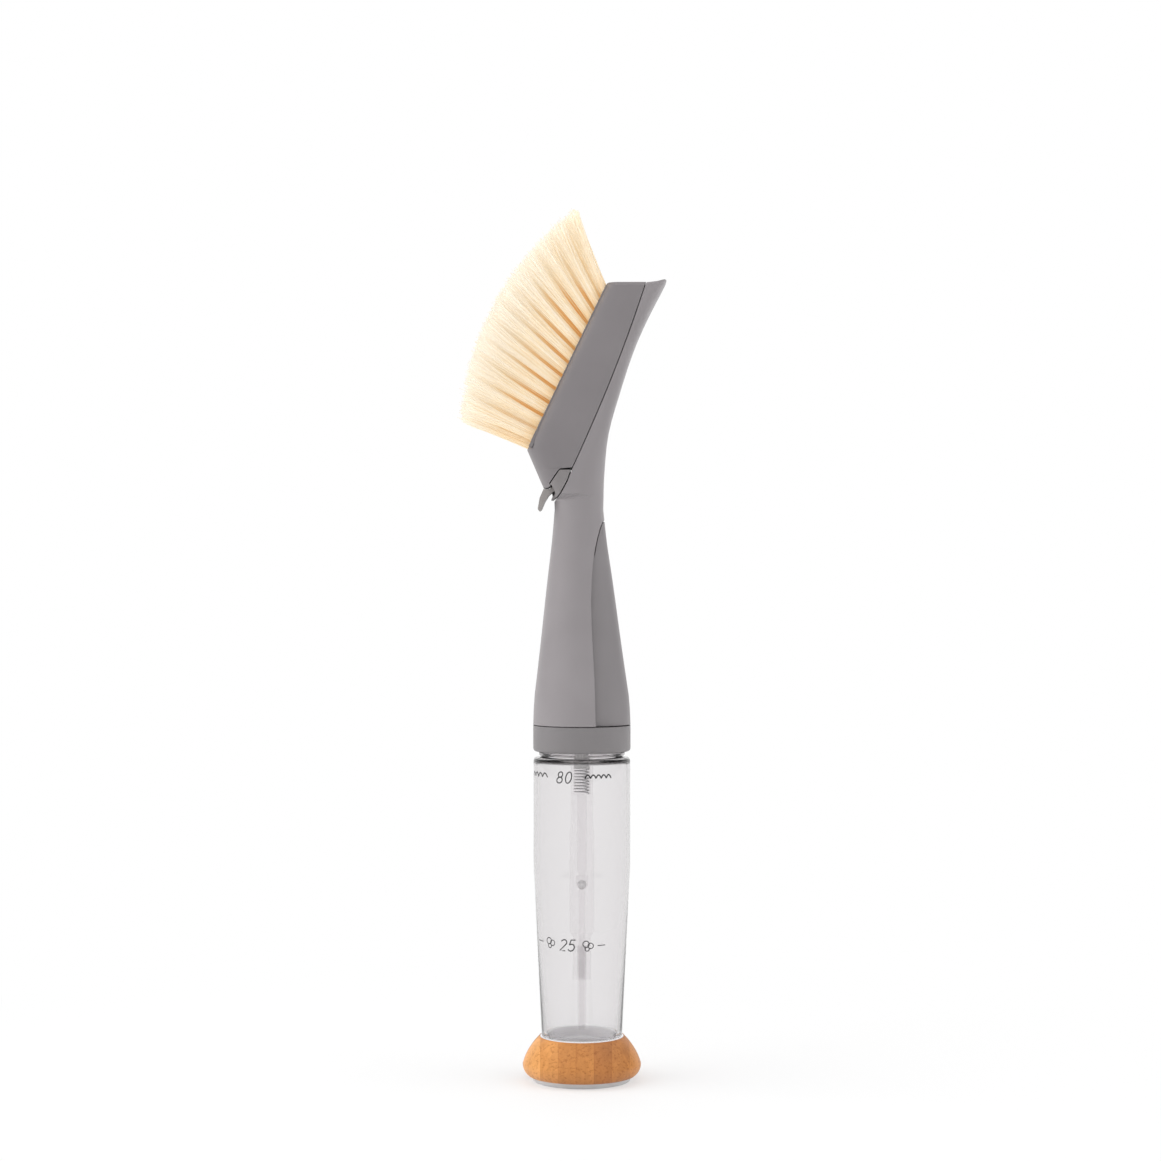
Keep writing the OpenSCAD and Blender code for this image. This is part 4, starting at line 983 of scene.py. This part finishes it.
def bristle_zone(name, node, columns):
    """The bristles that stand for one CAD block of strands."""
    verts, faces = [], []
    for column, row in tuft_places(columns):
        tuft_into(verts, faces, column, row)
    mesh = bpy.data.meshes.new(name)
    mesh.from_pydata(verts, [], faces)
    mesh.materials.append(cream)
    place(bpy.data.objects.new(name, mesh), "head", "bristle", node)
    return len(faces)


print("bristles:", sum(bristle_zone(*zone) for zone in ZONES), "faces")

# %% [markdown]
# ## Tuft plate
# The tufts are set in a plate that fills the shallow bed of the brush head, with a low collar
# round the foot of each. Boolean holes would be closer to how it is drilled, but every hole is
# filled with fibres and never seen. A thin slab and a flat cone for each collar look the same
# and stay clean.

# %% Tuft plate
BED_DEPTH, BELOW_RIM, SINK = 1.5, 0.15, 0.1
COLLAR_R, COLLAR_TOP_R, COLLAR_H = 2.5, 2.4, 0.2


def tuft_plate():
    """A thin slab with a low collar round the foot of every tuft."""
    turn = Matrix((UP, Vector((0, 1, 0)), OUT)).transposed().to_4x4()
    spot = Matrix.Translation(HEEL * MM) @ turn
    bm = bmesh.new()
    size = PLATE_LEN - 2 * MARGIN, HEAD_WIDTH - 2 * RIM, BED_DEPTH - BELOW_RIM
    middle = Matrix.Translation(Vector((PLATE_LEN / 2, 0, -(BED_DEPTH + BELOW_RIM) / 2)) * MM)
    scale = Matrix.Diagonal((*(side * MM for side in size), 1))
    bmesh.ops.create_cube(bm, size=1, matrix=spot @ middle @ scale)
    ends = {"radius1": COLLAR_R * MM, "radius2": COLLAR_TOP_R * MM, "depth": COLLAR_H * MM}
    for column, row in tuft_places(range(TUFTS)):
        there = spot @ Matrix.Translation(Vector((*tuft_spot(column, row), -SINK)) * MM)
        bmesh.ops.create_cone(bm, cap_ends=True, segments=20, matrix=there, **ends)
    bmesh.ops.recalc_face_normals(bm, faces=bm.faces)
    return finished("tuft_plate", bm, head_grey, smooth=False)


plate = place(tuft_plate(), "head", "grey_head")
print("tuft plate:", len(plate.data.polygons), "faces")

# %% [markdown]
# ## Floor
# The wand stands on a pale floor that fades into white, with only a soft shadow under it. A
# bright lamp would burn the floor white, and the wand with it. Instead the floor glows evenly
# for the camera and for rays that pass through the bottle or glance off the plastic, more so
# away from the wand, and stays a plain diffuse floor for all other light.

# %% Floor
def studio_floor():
    """Pale studio floor that looks almost white to the camera."""
    n = Finish("Studio floor")
    speck = n.noise(n.coords(), 900.0, 2.0)
    tone = n.ramp(speck, (0.3, (0.86, 0.86, 0.86)), (0.7, (0.88, 0.88, 0.88)))
    n.set(Base_Color=tone, Roughness=0.7)
    path = n.add("ShaderNodeLightPath").outputs
    seen = n.math("MAXIMUM", path["Is Camera Ray"], path["Is Transmission Ray"])
    seen = n.math("MAXIMUM", seen, path["Is Glossy Ray"])
    away = n.add("ShaderNodeVectorMath", {0: n.coords()}, operation="LENGTH").outputs["Value"]
    white = n.between(away, 0.04, 0.30, 0.45, 1.0, "SMOOTHSTEP")
    glow = n.add("ShaderNodeEmission", {"Color": WHITE, "Strength": 1.0})
    material = n.show(n.math("MULTIPLY", seen, white), glow.outputs[0])
    bm = bmesh.new()
    bmesh.ops.create_grid(bm, x_segments=1, y_segments=1, size=6)
    floor = finished("studio_floor", bm, material, smooth=False)
    scene.collection.objects.link(floor)
    return floor


floor = studio_floor()
print("floor:", round(floor.dimensions.x, 1), "m wide")

# %% [markdown]
# ## World
# Clear plastic shows only what is round it, and in front of pure white its edges vanish. Dark
# boards beside it would draw them, and would also show up in other views. Here the world does
# it alone: the camera sees plain white, while reflections and light bent by the bottle find it
# darker to both sides.

# %% World
def studio_world():
    """White to the camera, and darker to both sides for reflections and refractions."""
    world = bpy.data.worlds.new("Studio")
    world.use_nodes = True
    world.node_tree.nodes.clear()
    scene.world = world
    n = Nodes(world.node_tree)
    direction = n.add("ShaderNodeTexCoord").outputs["Generated"]
    side = n.math("ABSOLUTE", n.add("ShaderNodeSeparateXYZ", {0: direction}).outputs["X"])
    path = n.add("ShaderNodeLightPath").outputs
    through, glancing = path["Is Transmission Ray"], path["Is Glossy Ray"]
    start, end = n.between(through, 0, 1, 0.55, 0.26), n.between(through, 0, 1, 0.92, 0.50)
    fade = n.between(side, start, end, 1.0, 0.06, "SMOOTHSTEP")
    level = n.between(n.math("MAXIMUM", glancing, through), 0, 1, 0.66, 1.0)
    sides = n.add("ShaderNodeBackground", {"Color": WHITE})
    n.tree.links.new(n.math("MULTIPLY", fade, level), sides.inputs["Strength"])
    white = n.add("ShaderNodeBackground", {"Color": WHITE, "Strength": 1.0})
    mixed = n.mix_shaders(path["Is Camera Ray"], sides.outputs[0], white.outputs[0])
    n.add("ShaderNodeOutputWorld", {"Surface": mixed})
    return world


print("world:", len(studio_world().node_tree.nodes), "nodes")

# %% [markdown]
# ## Lights
# Two large soft boxes at the sides, the left one stronger, and a weak one above model the round
# handle gently. Small lamps would be simpler but would draw hard spots on the plastic and hard
# shadows between the tufts. The boxes are hidden from reflections and from the bottle, which
# would otherwise show their outlines.

# %% Lights
MIDDLE = Vector((0, 0, 0.17))


def soft_box(name, at, size, power):
    """A large rectangular light that faces the middle of the wand."""
    data = bpy.data.lights.new(name, "AREA")
    data.shape = "RECTANGLE"
    data.size, data.size_y = size
    data.energy = power
    obj = bpy.data.objects.new(name, data)
    obj.location = at
    obj.rotation_mode = "QUATERNION"
    obj.rotation_quaternion = (MIDDLE - Vector(at)).to_track_quat("-Z", "Y")
    obj.visible_glossy = obj.visible_transmission = False
    scene.collection.objects.link(obj)


BOXES = [
    ("left_softbox", (-1.12, -0.20, 0.70), (1.3, 1.5), 14.5),
    ("right_softbox", (1.05, -0.15, 0.66), (1.1, 1.4), 8.2),
    ("top_softbox", (0.0, -0.1, 1.2), (1.2, 1.2), 3.0),
]
for box in BOXES:
    soft_box(*box)
print("lights:", len(BOXES))

# %% [markdown]
# ## Camera
# The wand is seen level, from nearly a metre away, with little perspective. An orthographic
# camera would be near, but it draws every rim dead straight. A long lens at mid-height bends
# the rims of ring and collar a little, as they are on the real wand. The Standard view shows
# colours as they are written.

# %% Camera
def product_camera():
    """Level camera, 0.9 m in front of the bottle's axis."""
    data = bpy.data.cameras.new("camera")
    data.sensor_width = 36.0
    data.lens = 76.7
    data.clip_start, data.clip_end = 0.05, 20.0
    obj = bpy.data.objects.new("camera", data)
    obj.location = (-0.0005, -0.9, 0.1815)
    obj.rotation_euler = (math.radians(90), 0, 0)
    scene.collection.objects.link(obj)
    scene.camera = obj
    return obj


camera = product_camera()
scene.view_settings.view_transform = "Standard"
print("camera:", camera.data.lens, "mm lens")
